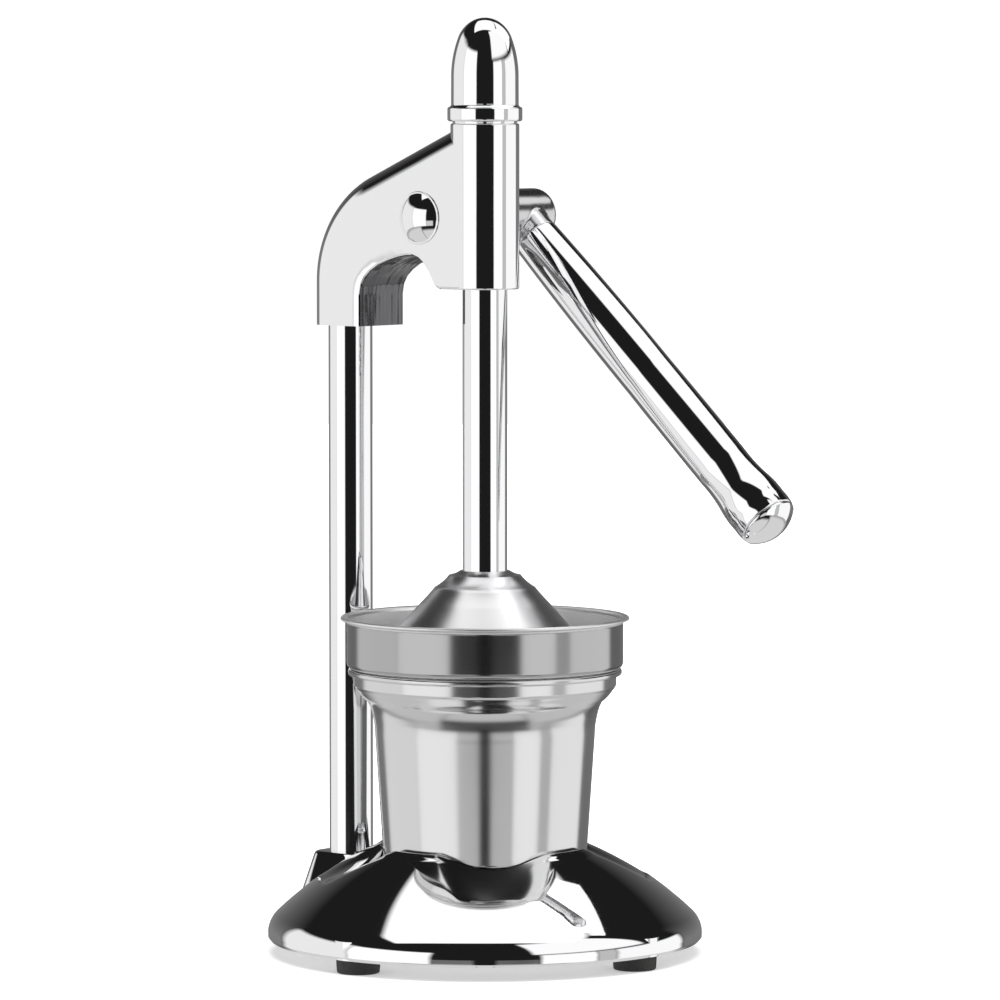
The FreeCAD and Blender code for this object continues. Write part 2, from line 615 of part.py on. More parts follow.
def plunger_bush():
    return round_tube("plunger_bush", "bush_radius", "rod_radius + fit_gap",
                      "bush_top - barrel_bottom", z="barrel_bottom")


def shaft_bush_left():
    return round_tube("shaft_bush_left", "bearing_radius", "shaft_radius + fit_gap",
                      "web_half_width - bearing_inner", x="-web_half_width",
                      y="shaft_y", z="shaft_height", turn=ALONG_X)


def shaft_bush_right():
    return round_tube("shaft_bush_right", "bearing_radius", "shaft_radius + fit_gap",
                      "boss_right - bearing_inner", x="bearing_inner",
                      y="shaft_y", z="shaft_height", turn=ALONG_X)


def thrust_washer():
    return round_tube("thrust_washer", "bearing_radius + 0.3", "shaft_radius + fit_gap",
                      "-ring_right - web_half_width - part_gap", x="-web_half_width",
                      y="shaft_y", z="shaft_height", turn=ALONG_MINUS_X)


def axle_dome_cap():
    """The domed cap over the left end of the shaft, with a flat ring round its foot."""
    arc = dome_radius_of("dome_radius", "dome_rise")
    inner = dome_radius_of("(dome_radius - dome_wall)", "(dome_rise - dome_wall)")
    cap = turned("axle_dome_cap", [
        ("dome_radius - dome_wall", "0"),
        ("dome_radius", "0", "left", arc),
        ("0", "dome_rise"),
        ("0", "dome_rise - dome_wall", "right", inner),
    ])
    return place(cap, "-web_half_width", "shaft_y", "shaft_height", ALONG_MINUS_X)


# ---------------------------------------------------------------- shaft, pinion and handle


def pinion_shaft():
    rod = cylinder("shaft_rod", "shaft_radius", "shaft_right - shaft_left",
                   x="shaft_left", y="shaft_y", z="shaft_height", turn=ALONG_X)
    groove = round_tube("shaft_groove", "shaft_radius + 1", "ring_groove",
                        "ring_right - ring_left", x="ring_left", y="shaft_y",
                        z="shaft_height", turn=ALONG_X)
    return cut("pinion_shaft", rod, groove, key_block("shaft_keyway"))


def key_block(name):
    return box(name, "2 * pinion_hub_half", "key_side", "key_side", x="-pinion_hub_half",
               y="shaft_y - key_side / 2", z="shaft_height + shaft_radius - key_side / 2")


def pinion_key():
    return key_block("pinion_key")


def drive_pinion():
    """Involute teeth, with a tooth that points at the rack at rest."""
    teeth = int(SIZE["pinion_teeth"])
    pitch_radius, tip = SIZE["pinion_pitch_radius"], SIZE["pinion_tip_radius"]
    root, slope = SIZE["pinion_root_radius"], math.radians(SIZE["pressure_angle"])
    base = pitch_radius * math.cos(slope)

    def half_angle(radius):
        """Half the angle that a tooth covers at a radius, by the involute's own formula."""
        reach = math.acos(min(1.0, base / radius))
        swing = (math.tan(slope) - slope) - (math.tan(reach) - reach)
        return SIZE["pinion_tooth"] / (2 * pitch_radius) + swing

    foot_radius = max(root, base)
    flank = [foot_radius + (tip - foot_radius) * step / 5 for step in range(6)]
    edges = []
    for tooth in range(teeth):
        middle = math.pi + 2 * math.pi * tooth / teeth

        def spot(radius, angle, middle=middle):
            return FreeCAD.Vector(0, radius * math.cos(middle + angle),
                                  radius * math.sin(middle + angle))

        rising = [spot(radius, -half_angle(radius)) for radius in flank]
        falling = [spot(radius, half_angle(radius)) for radius in reversed(flank)]
        gap = 2 * math.pi / teeth - half_angle(foot_radius)
        low, next_low = spot(root, half_angle(foot_radius)), spot(root, gap)
        for side in (rising, falling):
            curve = Part.BSplineCurve()
            curve.interpolate(side)
            edges.append(curve.toShape())
            if side is rising:
                edges.append(Part.Arc(rising[-1], spot(tip, 0), falling[0]).toShape())
        edges.append(Part.LineSegment(falling[-1], low).toShape())
        edges.append(Part.Arc(low, spot(root, math.pi / teeth), next_low).toShape())
        edges.append(Part.LineSegment(next_low, spot(foot_radius, gap)).toShape())
    wire = Part.Wire(Part.__sortEdges__(edges))
    gear = Part.Face(wire).extrude(FreeCAD.Vector(2 * SIZE["pinion_half"], 0, 0))
    toothed = doc.addObject("Part::Feature", "pinion_teeth_ring")
    toothed.Shape = gear
    place(toothed, "-pinion_half", "shaft_y", "shaft_height")
    hub = cylinder("pinion_hub", "pinion_hub_radius", "2 * pinion_hub_half",
                   x="-pinion_hub_half", y="shaft_y", z="shaft_height", turn=ALONG_X)
    bore = cylinder("pinion_bore", "shaft_radius", "2 * pinion_hub_half",
                    x="-pinion_hub_half", y="shaft_y", z="shaft_height", turn=ALONG_X)
    return cut("drive_pinion", fuse("pinion_whole", toothed, hub), bore, key_block("pinion_keyway"))


def retaining_ring():
    ring = round_tube("ring_whole", "ring_radius", "ring_groove", "ring_right - ring_left",
                      x="ring_left", y="shaft_y", z="shaft_height", turn=ALONG_X)
    mouth = box("ring_mouth", "ring_right - ring_left", "0.8 * ring_groove", "2 * ring_radius",
                x="ring_left", y="shaft_y - 0.4 * ring_groove", z="shaft_height")
    return cut("retaining_ring", ring, mouth)


def handle_hub():
    hub = turned("hub_barrel", [
        ("0", "hub_left"),
        ("hub_radius - hub_edge", "hub_left"),
        ("hub_radius", "hub_left + hub_edge"),
        ("hub_radius", "hub_right - hub_edge"),
        ("hub_radius - hub_edge", "hub_right"),
        ("0", "hub_right"),
    ])
    place(hub, y="shaft_y", z="shaft_height", turn=ALONG_X)
    neck = turned("hub_neck", [
        ("0", "0"),
        ("neck_radius", "0"),
        ("neck_radius", "neck_length"),
        ("spigot_radius", "neck_length"),
        ("spigot_radius", "spigot_length - 1"),
        ("spigot_radius - 1", "spigot_length"),
        ("0", "spigot_length"),
    ])
    along_handle(neck)
    bore = cylinder("hub_bore", "shaft_radius", "shaft_right - hub_left + 0.5",
                    x="hub_left - 0.5", y="shaft_y", z="shaft_height", turn=ALONG_X)
    tapped = cylinder("hub_tapping", "grub_radius", "hub_radius + 1", x="handle_x",
                      y="shaft_y", z="shaft_height", turn=up_the_back())
    return cut("handle_hub", fuse("hub_whole", hub, neck), bore, tapped)


def down_the_handle():
    """The turn that takes Z to the direction in which the handle points."""
    return FreeCAD.Rotation(X, 90 + SIZE["handle_fall"])


def up_the_back():
    """The opposite turn, for the screw behind the handle."""
    return FreeCAD.Rotation(X, SIZE["handle_fall"] - 90)


def along_handle(thing):
    return place(thing, "handle_x", "shaft_y", "shaft_height", down_the_handle())


def hub_set_screw():
    screw = turned("hub_set_screw", [
        ("0", "shaft_radius"),
        ("grub_radius", "shaft_radius"),
        ("grub_radius", "hub_radius - 0.6"),
        ("0.5 * grub_radius", "hub_radius - 0.6"),
        ("0.5 * grub_radius", "hub_radius - 2.2"),
        ("0", "hub_radius - 2.2"),
    ])
    return place(screw, "handle_x", "shaft_y", "shaft_height", up_the_back())


def handle_tube():
    tube = turned("handle_tube", [
        ("spigot_radius", "neck_length"),
        ("grip_start_radius - 0.5", "neck_length"),
        ("grip_start_radius", "neck_length + 0.5"),
        ("grip_middle_radius", "grip_middle"),
        ("grip_flare_radius", "grip_flare", "right", "grip_flare_arc"),
        ("grip_end_radius", "grip_end"),
        ("grip_end_radius - grip_wall", "grip_end"),
        ("grip_flare_radius - grip_wall", "grip_flare"),
        ("grip_middle_radius - grip_wall", "grip_middle"),
        ("spigot_radius", "spigot_length + 2"),
    ])
    return along_handle(tube)


def handle_end_cap():
    cap = turned("handle_end_cap", [
        ("0", "grip_end - grip_cap_depth"),
        ("grip_flare_radius - grip_wall - 0.4", "grip_end - grip_cap_depth"),
        ("grip_flare_radius - grip_wall - 0.4", "grip_end"),
        ("grip_end_radius", "grip_end", "left",
         dome_radius_of("grip_end_radius", "(grip_cap_top - grip_end)")),
        ("0", "grip_cap_top"),
    ])
    return along_handle(cap)


# ---------------------------------------------------------------- plunger


def rack_plunger():
    """The rod, with a rack milled in a slot along its back."""
    rod = turned("rack_plunger", [
        ("bell_screw_radius", "bell_top"),
        ("rod_radius", "bell_top"),
        ("rod_radius", "rod_top - 1"),
        ("rod_radius - 1", "rod_top"),
        ("0", "rod_top"),
        ("0", "bell_top + bell_screw_length"),
        ("bell_screw_radius", "bell_top + bell_screw_length"),
    ])
    space = outline(rod, "tooth_space", "YZ_Plane", [
        ("rack_root_y", "rack_low_height - rack_root_half"),
        ("rack_mouth_y", "rack_low_height - rack_mouth_half"),
        ("rack_mouth_y", "rack_low_height + rack_mouth_half"),
        ("rack_root_y", "rack_low_height + rack_root_half"),
    ])
    milled = rod.newObject("PartDesign::Pocket", "tooth_space_cut")
    milled.Profile = space
    milled.Midplane = True
    bind(milled, "Length", "2 * rack_half_width")
    rack = rod.newObject("PartDesign::LinearPattern", "rack")
    rack.Originals = [milled]
    rack.Direction = (space, ["V_Axis"])
    bind(rack, "Length", "(rack_spaces - 1) * rack_pitch")
    bind(rack, "Occurrences", "rack_spaces")
    rod.Tip = rack
    return rod


def press_bell():
    return turned("press_bell", [
        ("bell_screw_radius + 0.2", "bell_top - bell_wall"),
        ("bell_screw_radius + 0.2", "bell_top"),
        ("bell_crown_radius", "bell_top", "right", "bell_shoulder_arc"),
        ("bell_shoulder_radius", "bell_shoulder_height"),
        ("bell_skirt_radius", "bell_skirt_height"),
        ("bell_skirt_radius", "bell_bottom"),
        ("bell_skirt_radius - bell_wall", "bell_bottom"),
        ("bell_skirt_radius - bell_wall", "bell_skirt_height - bell_wall"),
        ("bell_shoulder_radius - bell_wall", "bell_shoulder_height - bell_wall"),
        ("bell_crown_radius", "bell_top - bell_wall"),
    ])


def bell_washer():
    return round_tube("bell_washer", "bell_washer_radius", "bell_screw_radius + fit_gap",
                      "washer_height", z="bell_top - bell_wall - washer_height")


def bell_screw():
    """A button-head screw that holds the bell to the rod."""
    seat = "bell_top - bell_wall - washer_height"
    return turned("bell_screw", [
        ("0", f"{seat} - 0.4 * bell_screw_head"),
        ("0.5 * bell_screw_radius", f"{seat} - 0.4 * bell_screw_head"),
        ("0.5 * bell_screw_radius", f"{seat} - bell_screw_head"),
        ("bell_screw_radius", f"{seat} - bell_screw_head"),
        ("1.8 * bell_screw_radius", f"{seat} - 0.3 * bell_screw_head"),
        ("1.8 * bell_screw_radius", seat),
        ("bell_screw_radius", seat),
        ("bell_screw_radius", "bell_top + bell_screw_length - 1"),
        ("0", "bell_top + bell_screw_length - 1"),
    ])


# ---------------------------------------------------------------- cup and bowl


def juice_cup():
    bottom, wall = "seat_floor_height + part_gap", "cup_wall"
    return turned("juice_cup", [
        ("0", bottom),
        ("cup_bottom_radius", bottom, "left", "cup_bottom_arc"),
        ("cup_foot_radius", "cup_foot_height"),
        ("cup_waist_radius", "cup_waist_height", "right", "cup_waist_arc"),
        ("cup_shoulder_radius", "cup_shoulder_height", "left", "cup_shoulder_arc"),
        ("cup_neck_radius", "cup_neck_bottom"),
        ("cup_neck_radius", "cup_rim_bottom"),
        ("cup_rim_radius - 0.6", "cup_rim_bottom"),
        ("cup_rim_radius", "cup_rim_bottom + 0.8"),
        ("cup_rim_radius", "cup_rim_top - 0.8"),
        ("cup_rim_radius - 0.8", "cup_rim_top"),
        (f"cup_neck_radius - {wall}", "cup_rim_top"),
        (f"cup_neck_radius - {wall}", f"cup_neck_bottom + 0.4 * {wall}"),
        (f"cup_shoulder_radius - {wall}", f"cup_shoulder_height + 0.4 * {wall}"),
        (f"cup_waist_radius - {wall}", "cup_waist_height"),
        (f"cup_foot_radius - {wall}", "cup_foot_height"),
        ("cup_bottom_radius", f"{bottom} + {wall}"),
        ("0", f"{bottom} + {wall}"),
    ])


def strainer_bowl():
    wall, lip = "bowl_wall", "bowl_lip_top - bowl_lip_fall"
    return turned("strainer_bowl", [
        (f"collar_radius - {wall}", "collar_bottom"),
        ("collar_radius", "collar_bottom"),
        ("collar_radius", "bowl_bottom"),
        ("bowl_radius - bowl_corner", "bowl_bottom", "left", "bowl_corner"),
        ("bowl_radius", "bowl_bottom + bowl_corner"),
        ("bowl_radius", lip),
        ("bowl_lip_radius", "bowl_lip_top - bowl_lip_height"),
        ("bowl_lip_radius", "bowl_lip_top - 0.3"),
        ("bowl_lip_radius - 0.3", "bowl_lip_top"),
        (f"bowl_radius - {wall} + 0.8", "bowl_lip_top"),
        (f"bowl_radius - {wall}", lip),
        (f"bowl_radius - {wall}", f"bowl_bottom + {wall}"),
        (f"collar_radius - {wall} - 2", f"bowl_bottom + {wall}"),
        (f"collar_radius - {wall} - 2", "bowl_bottom"),
        (f"collar_radius - {wall}", "bowl_bottom"),
    ])


def strainer_disc():
    level = "bowl_bottom + bowl_wall"
    plate = round_tube("disc_plate", "disc_radius", "disc_hole_radius", "disc_wall", z=level)
    slots = []
    for index, bearing in enumerate(around("slot_count")):
        along_x, along_y = math.cos(math.radians(bearing)), math.sin(math.radians(bearing))
        slots.append(box(f"slot_{index}", "slot_length", "slot_width", "3 * disc_wall",
                         x=f"{along_x:.6f} * slot_inner_radius + {along_y:.6f} * slot_width / 2",
                         y=f"{along_y:.6f} * slot_inner_radius - {along_x:.6f} * slot_width / 2",
                         z="bowl_bottom", turn=FreeCAD.Rotation(Z, bearing)))
    return cut("strainer_disc", plate, *slots)


def reamer_cone():
    """The fluted cone that a half fruit is pressed on."""
    foot_level = "bowl_bottom + bowl_wall + disc_wall"
    cone = turned("reamer_whole", [
        ("0", f"{foot_level} - disc_wall"),
        ("disc_hole_radius - 0.1", f"{foot_level} - disc_wall"),
        ("disc_hole_radius - 0.1", foot_level),
        ("reamer_radius", foot_level),
        ("reamer_radius", f"{foot_level} + reamer_foot_height"),
        ("reamer_slope_radius", f"{foot_level} + reamer_foot_height"),
        ("reamer_nose_radius", f"{foot_level} + reamer_nose_rise", "left", "reamer_nose_arc"),
        ("0", f"{foot_level} + reamer_rise"),
    ])
    flutes = []
    for index, bearing in enumerate(around("flute_count")):
        along_x, along_y = math.cos(math.radians(bearing)), math.sin(math.radians(bearing))
        lean = FreeCAD.Rotation(Y, 90 + SIZE["flute_fall"])
        flute = doc.addObject("Part::Cone", f"flute_{index}")
        bind(flute, "Radius1", "flute_nose_radius")
        bind(flute, "Radius2", "flute_foot_radius")
        bind(flute, "Height", "flute_length")
        flutes.append(place(flute, f"{along_x:.6f} * flute_start_radius",
                            f"{along_y:.6f} * flute_start_radius",
                            f"{foot_level} + flute_start_rise",
                            FreeCAD.Rotation(Z, bearing).multiply(lean)))
    return cut("reamer_cone", cone, *flutes)


# ---------------------------------------------------------------- all sub-parts

sub_parts = [
    base_casting(), column_tube(), column_plug(), column_washer(), column_bolt(),
    head_casting(), head_grub_screws(), barrel_cap(), plunger_bush(),
    shaft_bush_left(), shaft_bush_right(), thrust_washer(), axle_dome_cap(),
    pinion_shaft(), pinion_key(), drive_pinion(), retaining_ring(),
    handle_hub(), hub_set_screw(), handle_tube(), handle_end_cap(),
    rack_plunger(), press_bell(), bell_washer(), bell_screw(),
    juice_cup(), strainer_bowl(), strainer_disc(), reamer_cone(),
]
sub_parts += [foot(*side) for side in FOOT_SIDES]

for part in sub_parts:
    part.Label = part.Name
    offset = next((rule for path, rule in part.ExpressionEngine if path.endswith("Base.y")), "0")
    part.setExpression("Placement.Base.y", f"{offset} + dims.press_axis_y")
doc.recompute()

for thing in doc.Objects:
    broken = [state for state in thing.State if state in ("Invalid", "Error")]
    if broken:
        raise RuntimeError(f"{thing.Name} did not compute: {thing.State}")
for part in sub_parts:
    if part.Shape.isNull() or not part.Shape.isValid():
        raise RuntimeError(f"{part.Label} has no valid shape")

os.makedirs("parts", exist_ok=True)
for part in sub_parts:
    part.Shape.exportStep(f"parts/{part.Label}.step")
print(f"{len(sub_parts)} sub-parts, {sum(len(part.Shape.Solids) for part in sub_parts)} solids")
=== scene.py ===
import math

import bpy
from mathutils import Matrix, Vector


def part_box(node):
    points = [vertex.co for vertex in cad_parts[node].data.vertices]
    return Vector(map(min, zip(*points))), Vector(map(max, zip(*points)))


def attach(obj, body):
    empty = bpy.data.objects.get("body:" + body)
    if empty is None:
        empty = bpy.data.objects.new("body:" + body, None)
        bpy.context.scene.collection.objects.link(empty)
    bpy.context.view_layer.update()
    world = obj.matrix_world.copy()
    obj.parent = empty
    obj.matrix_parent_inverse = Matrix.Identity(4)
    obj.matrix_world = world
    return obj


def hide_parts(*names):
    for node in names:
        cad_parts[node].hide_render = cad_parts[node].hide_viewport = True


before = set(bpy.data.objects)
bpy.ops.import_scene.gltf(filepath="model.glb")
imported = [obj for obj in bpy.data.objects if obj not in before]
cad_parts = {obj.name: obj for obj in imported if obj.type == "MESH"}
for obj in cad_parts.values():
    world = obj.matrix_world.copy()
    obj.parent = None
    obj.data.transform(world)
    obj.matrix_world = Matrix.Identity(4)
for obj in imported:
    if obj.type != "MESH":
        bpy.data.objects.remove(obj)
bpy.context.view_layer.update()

# A lever citrus press, modelled piece by piece round its frame. Lengths in the profiles are in
# millimetres, as (radius, height) pairs up an axis; everything in the scene is in metres.

MM = 0.001
ROUND = 160                     # segments of a turned piece
FINE_ROUND = 360                # segments of the base
ARC_STEP = math.radians(6)      # turn between two points of a rounded profile
ARC_REACH = 1.5                 # distance between two points of a long arc
NEAR = 0.1                      # margin in mm when points are told apart
EDGE_LOOP = 0.35                # loop beside each end of a straight stretch, which keeps it true

rod_low, rod_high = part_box("rack_plunger")
cup_low, cup_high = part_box("juice_cup")
tube_low, tube_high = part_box("column_tube")
shaft_low, shaft_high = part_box("pinion_shaft")
PRESS_AXIS = Vector((0, (cup_low.y + cup_high.y) / 2, 0))
COLUMN_AXIS = (tube_low + tube_high) / 2 * Vector((0, 1, 0))
SHAFT = Vector((0, (shaft_low.y + shaft_high.y) / 2, (shaft_low.z + shaft_high.z) / 2))
RACK_LOW, RACK_PITCH, RACK_SPACES = 243.885, 2 * math.pi, 13
RACK_HALF, RACK_ROOT = 4.7, 5.0
ROD_RADIUS = 9.5
ROD_BORE, ROD_BORE_DEPTH = 4.0, 16.0
HANDLE_X = 51 * MM
HANDLE_FALL = math.radians(42.7)
HUB_VOXEL = 0.42 * MM
HUB_ROUNDING = 14               # passes of smoothing over the hub, which fillet it to its neck


# ------------------------------------------------------------------ tools


def only(piece):
    """Makes one piece the selected and active one."""
    bpy.ops.object.select_all(action="DESELECT")
    piece.select_set(True)
    bpy.context.view_layer.objects.active = piece


def edit(piece, select="SELECT"):
    """Opens a piece for editing."""
    only(piece)
    bpy.ops.object.mode_set(mode="EDIT")
    bpy.ops.mesh.select_mode(type="VERT")
    bpy.ops.mesh.select_all(action=select)


def close():
    """Goes back from editing to objects."""
    bpy.ops.object.mode_set(mode="OBJECT")


def profile(*stops):
    """Points along a profile. A stop is (radius, height), or (radius, height, bulge) where the
    stretch that reaches it is an arc: bulge is its rise over half its chord, and a positive one
    bows outwards on the way up."""
    points = [Vector(stops[0][:2])]
    for stop in stops[1:]:
        start, end = points[-1], Vector(stop[:2])
        if len(stop) == 2:
            run = end - start
            if run.length > 3 * EDGE_LOOP:
                points.append(start + run.normalized() * EDGE_LOOP)
                points.append(end - run.normalized() * EDGE_LOOP)
            points.append(end)
            continue
        chord, bulge = end - start, stop[2]
        turn = 4 * math.atan(abs(bulge))
        radius = chord.length / 2 / math.sin(turn / 2)
        side = Vector((chord.y, -chord.x)).normalized() * math.copysign(1, bulge)
        centre = (start + end) / 2 - side * radius * math.cos(turn / 2)
        steps = max(3, math.ceil(turn / ARC_STEP), math.ceil(turn * radius / ARC_REACH))
        spin = math.copysign(1, bulge)
        for step in range(1, steps + 1):
            angle = spin * turn * step / steps
            points.append(centre + Matrix.Rotation(angle, 2) @ (start - centre))
    return points


def dome(edge, rise):
    """The bulge of a dome that ends level on the axis, from the radius of its edge and its rise."""
    return math.tan(math.atan2(rise, edge) / 2)


def lathe(name, points, around=ROUND, ring=False):
    """Extrudes a ring along a profile. A ring profile is closed on itself; any other one ends
    at the axis, or in an open edge."""
    bpy.ops.object.select_all(action="DESELECT")
    pole = 0.004
    first = points[0]
    bpy.ops.mesh.primitive_circle_add(vertices=around, radius=max(first[0], pole) * MM,
                                      location=(0, 0, first[1] * MM))
    piece = bpy.context.object
    piece.name = piece.data.name = name
    bpy.ops.object.transform_apply(location=True)
    edit(piece)
    for before, after in zip(points, points[1:]):
        grow = max(after[0], pole) / max(before[0], pole)
        lift = (after[1] - before[1]) * MM
        bpy.ops.mesh.extrude_edges_move(TRANSFORM_OT_translate={"value": (0, 0, lift)})
        bpy.ops.transform.resize(value=(grow, grow, 1), center_override=(0, 0, 0))
    if ring:
        bpy.ops.mesh.select_all(action="DESELECT")
        bpy.ops.mesh.select_non_manifold()
        bpy.ops.mesh.bridge_edge_loops()
    bpy.ops.mesh.select_all(action="SELECT")
    bpy.ops.mesh.remove_doubles(threshold=2 * pole * MM)
    bpy.ops.mesh.delete_loose()
    bpy.ops.mesh.select_all(action="SELECT")
    bpy.ops.mesh.normals_make_consistent(inside=False)
    close()
    return piece


def put(piece, place=(0, 0, 0), turn=None):
    """Moves a piece that was made at the origin to its place, and keeps the place in its mesh."""
    only(piece)
    piece.matrix_world = Matrix.Translation(place) @ (turn or Matrix.Identity(4))
    bpy.ops.object.transform_apply(location=True, rotation=True, scale=True)
    return piece


def join(name, *pieces):
    """Joins pieces to one object."""
    bpy.ops.object.select_all(action="DESELECT")
    for piece in pieces:
        piece.select_set(True)
    bpy.context.view_layer.objects.active = pieces[0]
    bpy.ops.object.join()
    pieces[0].name = pieces[0].data.name = name
    return pieces[0]


def smooth(piece, angle=32):
    """Shades a piece smooth, but for edges sharper than the angle in degrees."""
    only(piece)
    bpy.ops.object.shade_smooth_by_angle(angle=math.radians(angle))
    return piece


def modify(piece, kind, **settings):
    """Adds a modifier and applies it."""
    only(piece)
    modifier = piece.modifiers.new(kind.lower(), kind)
    for key, value in settings.items():
        setattr(modifier, key, value)
    bpy.ops.object.modifier_apply(modifier=modifier.name)
    return piece


def finish(piece, material, slot, body, *nodes, angle=32):
    """Shades a piece, gives it its material and its body, and hides the nodes that it stands for."""
    smooth(piece, angle)
    piece.data.materials.clear()
    piece.data.materials.append(material)
    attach(piece, body)
    if nodes:
        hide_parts(*nodes)
    return piece


def second_material(piece, material, chosen):
    """Gives a second material to the faces that a test of their centre and normal picks, with the
    centre in millimetres from the press axis."""
    piece.data.materials.append(material)
    for face in piece.data.polygons:
        if chosen((face.center - PRESS_AXIS) / MM, face.normal):
            face.material_index = 1


TO_X = Matrix.Rotation(math.radians(90), 4, "Y")
TO_MINUS_X = Matrix.Rotation(math.radians(-90), 4, "Y")
DOWN_HANDLE = Matrix.Rotation(math.radians(90) + HANDLE_FALL, 4, "X")


# ------------------------------------------------------------------ materials


def metal(name, colour, roughness, spread=0.02, wave=0.0, wave_size=60.0, streak=None,
          streak_depth=0.0, smudge=18.0):
    """A metal whose roughness varies a little, with a faint waviness or fine machining lines.
    streak is the scale of the noise along X, Y and Z that draws the lines."""
    material = bpy.data.materials.new(name)
    material.use_nodes = True
    nodes, links = material.node_tree.nodes, material.node_tree.links
    shader = nodes["Principled BSDF"]
    shader.inputs["Base Color"].default_value = (*colour, 1)
    shader.inputs["Metallic"].default_value = 1
    coordinates = nodes.new("ShaderNodeTexCoord")
    cloud = nodes.new("ShaderNodeTexNoise")
    cloud.inputs["Scale"].default_value = smudge
    cloud.inputs["Detail"].default_value = 4
    links.new(coordinates.outputs["Object"], cloud.inputs["Vector"])
    spread_map = nodes.new("ShaderNodeMapRange")
    spread_map.inputs["From Min"].default_value = 0.3
    spread_map.inputs["From Max"].default_value = 0.7
    spread_map.inputs["To Min"].default_value = roughness
    spread_map.inputs["To Max"].default_value = roughness + spread
    links.new(cloud.outputs["Fac"], spread_map.inputs["Value"])
    links.new(spread_map.outputs["Result"], shader.inputs["Roughness"])
    bump = None
    if wave:
        swell = nodes.new("ShaderNodeTexNoise")
        swell.inputs["Scale"].default_value = wave_size
        swell.inputs["Detail"].default_value = 1
        links.new(coordinates.outputs["Object"], swell.inputs["Vector"])
        bump = nodes.new("ShaderNodeBump")
        bump.inputs["Strength"].default_value = 1
        bump.inputs["Distance"].default_value = wave
        links.new(swell.outputs["Fac"], bump.inputs["Height"])
    if streak:
        stretch = nodes.new("ShaderNodeMapping")
        stretch.inputs["Scale"].default_value = streak
        links.new(coordinates.outputs["Object"], stretch.inputs["Vector"])
        lines = nodes.new("ShaderNodeTexNoise")
        lines.inputs["Scale"].default_value = 1
        lines.inputs["Detail"].default_value = 3
        links.new(stretch.outputs["Vector"], lines.inputs["Vector"])
        scratch = nodes.new("ShaderNodeBump")
        scratch.inputs["Strength"].default_value = 1
        scratch.inputs["Distance"].default_value = streak_depth
        links.new(lines.outputs["Fac"], scratch.inputs["Height"])
        if bump:
            links.new(bump.outputs["Normal"], scratch.inputs["Normal"])
        bump = scratch
    if bump:
        links.new(bump.outputs["Normal"], shader.inputs["Normal"])
    return material


def rubber():
    """Black rubber with a fine dusty grain."""
    material = bpy.data.materials.new("foot_rubber")
    material.use_nodes = True
    nodes, links = material.node_tree.nodes, material.node_tree.links
    shader = nodes["Principled BSDF"]
    shader.inputs["Roughness"].default_value = 0.62
    shader.inputs["Specular IOR Level"].default_value = 0.35
    coordinates = nodes.new("ShaderNodeTexCoord")
    grain = nodes.new("ShaderNodeTexNoise")
    grain.inputs["Scale"].default_value = 900
    grain.inputs["Detail"].default_value = 5
    links.new(coordinates.outputs["Object"], grain.inputs["Vector"])
    dust = nodes.new("ShaderNodeValToRGB")
    dust.color_ramp.elements[0].color = (0.012, 0.012, 0.013, 1)
    dust.color_ramp.elements[1].color = (0.045, 0.044, 0.042, 1)
    links.new(grain.outputs["Fac"], dust.inputs["Fac"])
    links.new(dust.outputs["Color"], shader.inputs["Base Color"])
    bump = nodes.new("ShaderNodeBump")
    bump.inputs["Distance"].default_value = 0.05 * MM
    links.new(grain.outputs["Fac"], bump.inputs["Height"])
    links.new(bump.outputs["Normal"], shader.inputs["Normal"])
    return material


def bush_plastic():
    """Ivory plastic, slightly clouded."""
    material = bpy.data.materials.new("bush_plastic")
    material.use_nodes = True
    nodes, links = material.node_tree.nodes, material.node_tree.links
    shader = nodes["Principled BSDF"]
    shader.inputs["Roughness"].default_value = 0.4
    coordinates = nodes.new("ShaderNodeTexCoord")
    cloud = nodes.new("ShaderNodeTexNoise")
    cloud.inputs["Scale"].default_value = 120
    links.new(coordinates.outputs["Object"], cloud.inputs["Vector"])
    tint = nodes.new("ShaderNodeValToRGB")
    tint.color_ramp.elements[0].color = (0.72, 0.70, 0.64, 1)
    tint.color_ramp.elements[1].color = (0.80, 0.79, 0.75, 1)
    links.new(cloud.outputs["Fac"], tint.inputs["Fac"])
    links.new(tint.outputs["Color"], shader.inputs["Base Color"])
    return material


CAST_CHROME = metal("cast_chrome", (0.90, 0.90, 0.91), 0.035, 0.02, wave=0.05 * MM, wave_size=45)
TUBE_CHROME = metal("tube_chrome", (0.90, 0.90, 0.91), 0.03, 0.03, wave=0.01 * MM, wave_size=30)
# The inside of the head's arch: a much darker copy of the casting's chrome, painted shade.
ARCH_PAINTED_SHADE_CHROME = metal("arch_painted_shade_chrome", (0.13, 0.13, 0.135), 0.11, 0.08, streak=(75, 30, 5),
                    streak_depth=4 * MM)
HUB_CHROME = metal("hub_chrome", (0.62, 0.62, 0.63), 0.16, 0.08, wave=0.3 * MM, wave_size=60)
CUP_STEEL = metal("cup_steel", (0.70, 0.70, 0.70), 0.15, 0.04, streak=(8, 8, 1500),
                  streak_depth=0.002 * MM)
BOWL_STEEL = metal("bowl_steel", (0.46, 0.46, 0.46), 0.14, 0.05, streak=(12, 12, 2200),
                   streak_depth=0.004 * MM)
# A much lighter copy of the bowl's steel for its inside and lip: painted light.
BOWL_INSIDE_PAINTED_LIGHT = metal("bowl_inside_painted_light", (0.97, 0.97, 0.97), 0.40, 0.08, streak=(12, 12, 900),
                    streak_depth=0.004 * MM)
BELL_ALUMINIUM = metal("bell_aluminium", (0.91, 0.91, 0.92), 0.27, 0.06, wave=0.35 * MM,
                       wave_size=42)
GEAR_STEEL = metal("gear_steel", (0.42, 0.42, 0.43), 0.3, 0.1, streak=(1500, 60, 60),
                   streak_depth=0.01 * MM)
ZINC_STEEL = metal("zinc_steel", (0.62, 0.63, 0.66), 0.28, 0.12, smudge=150)
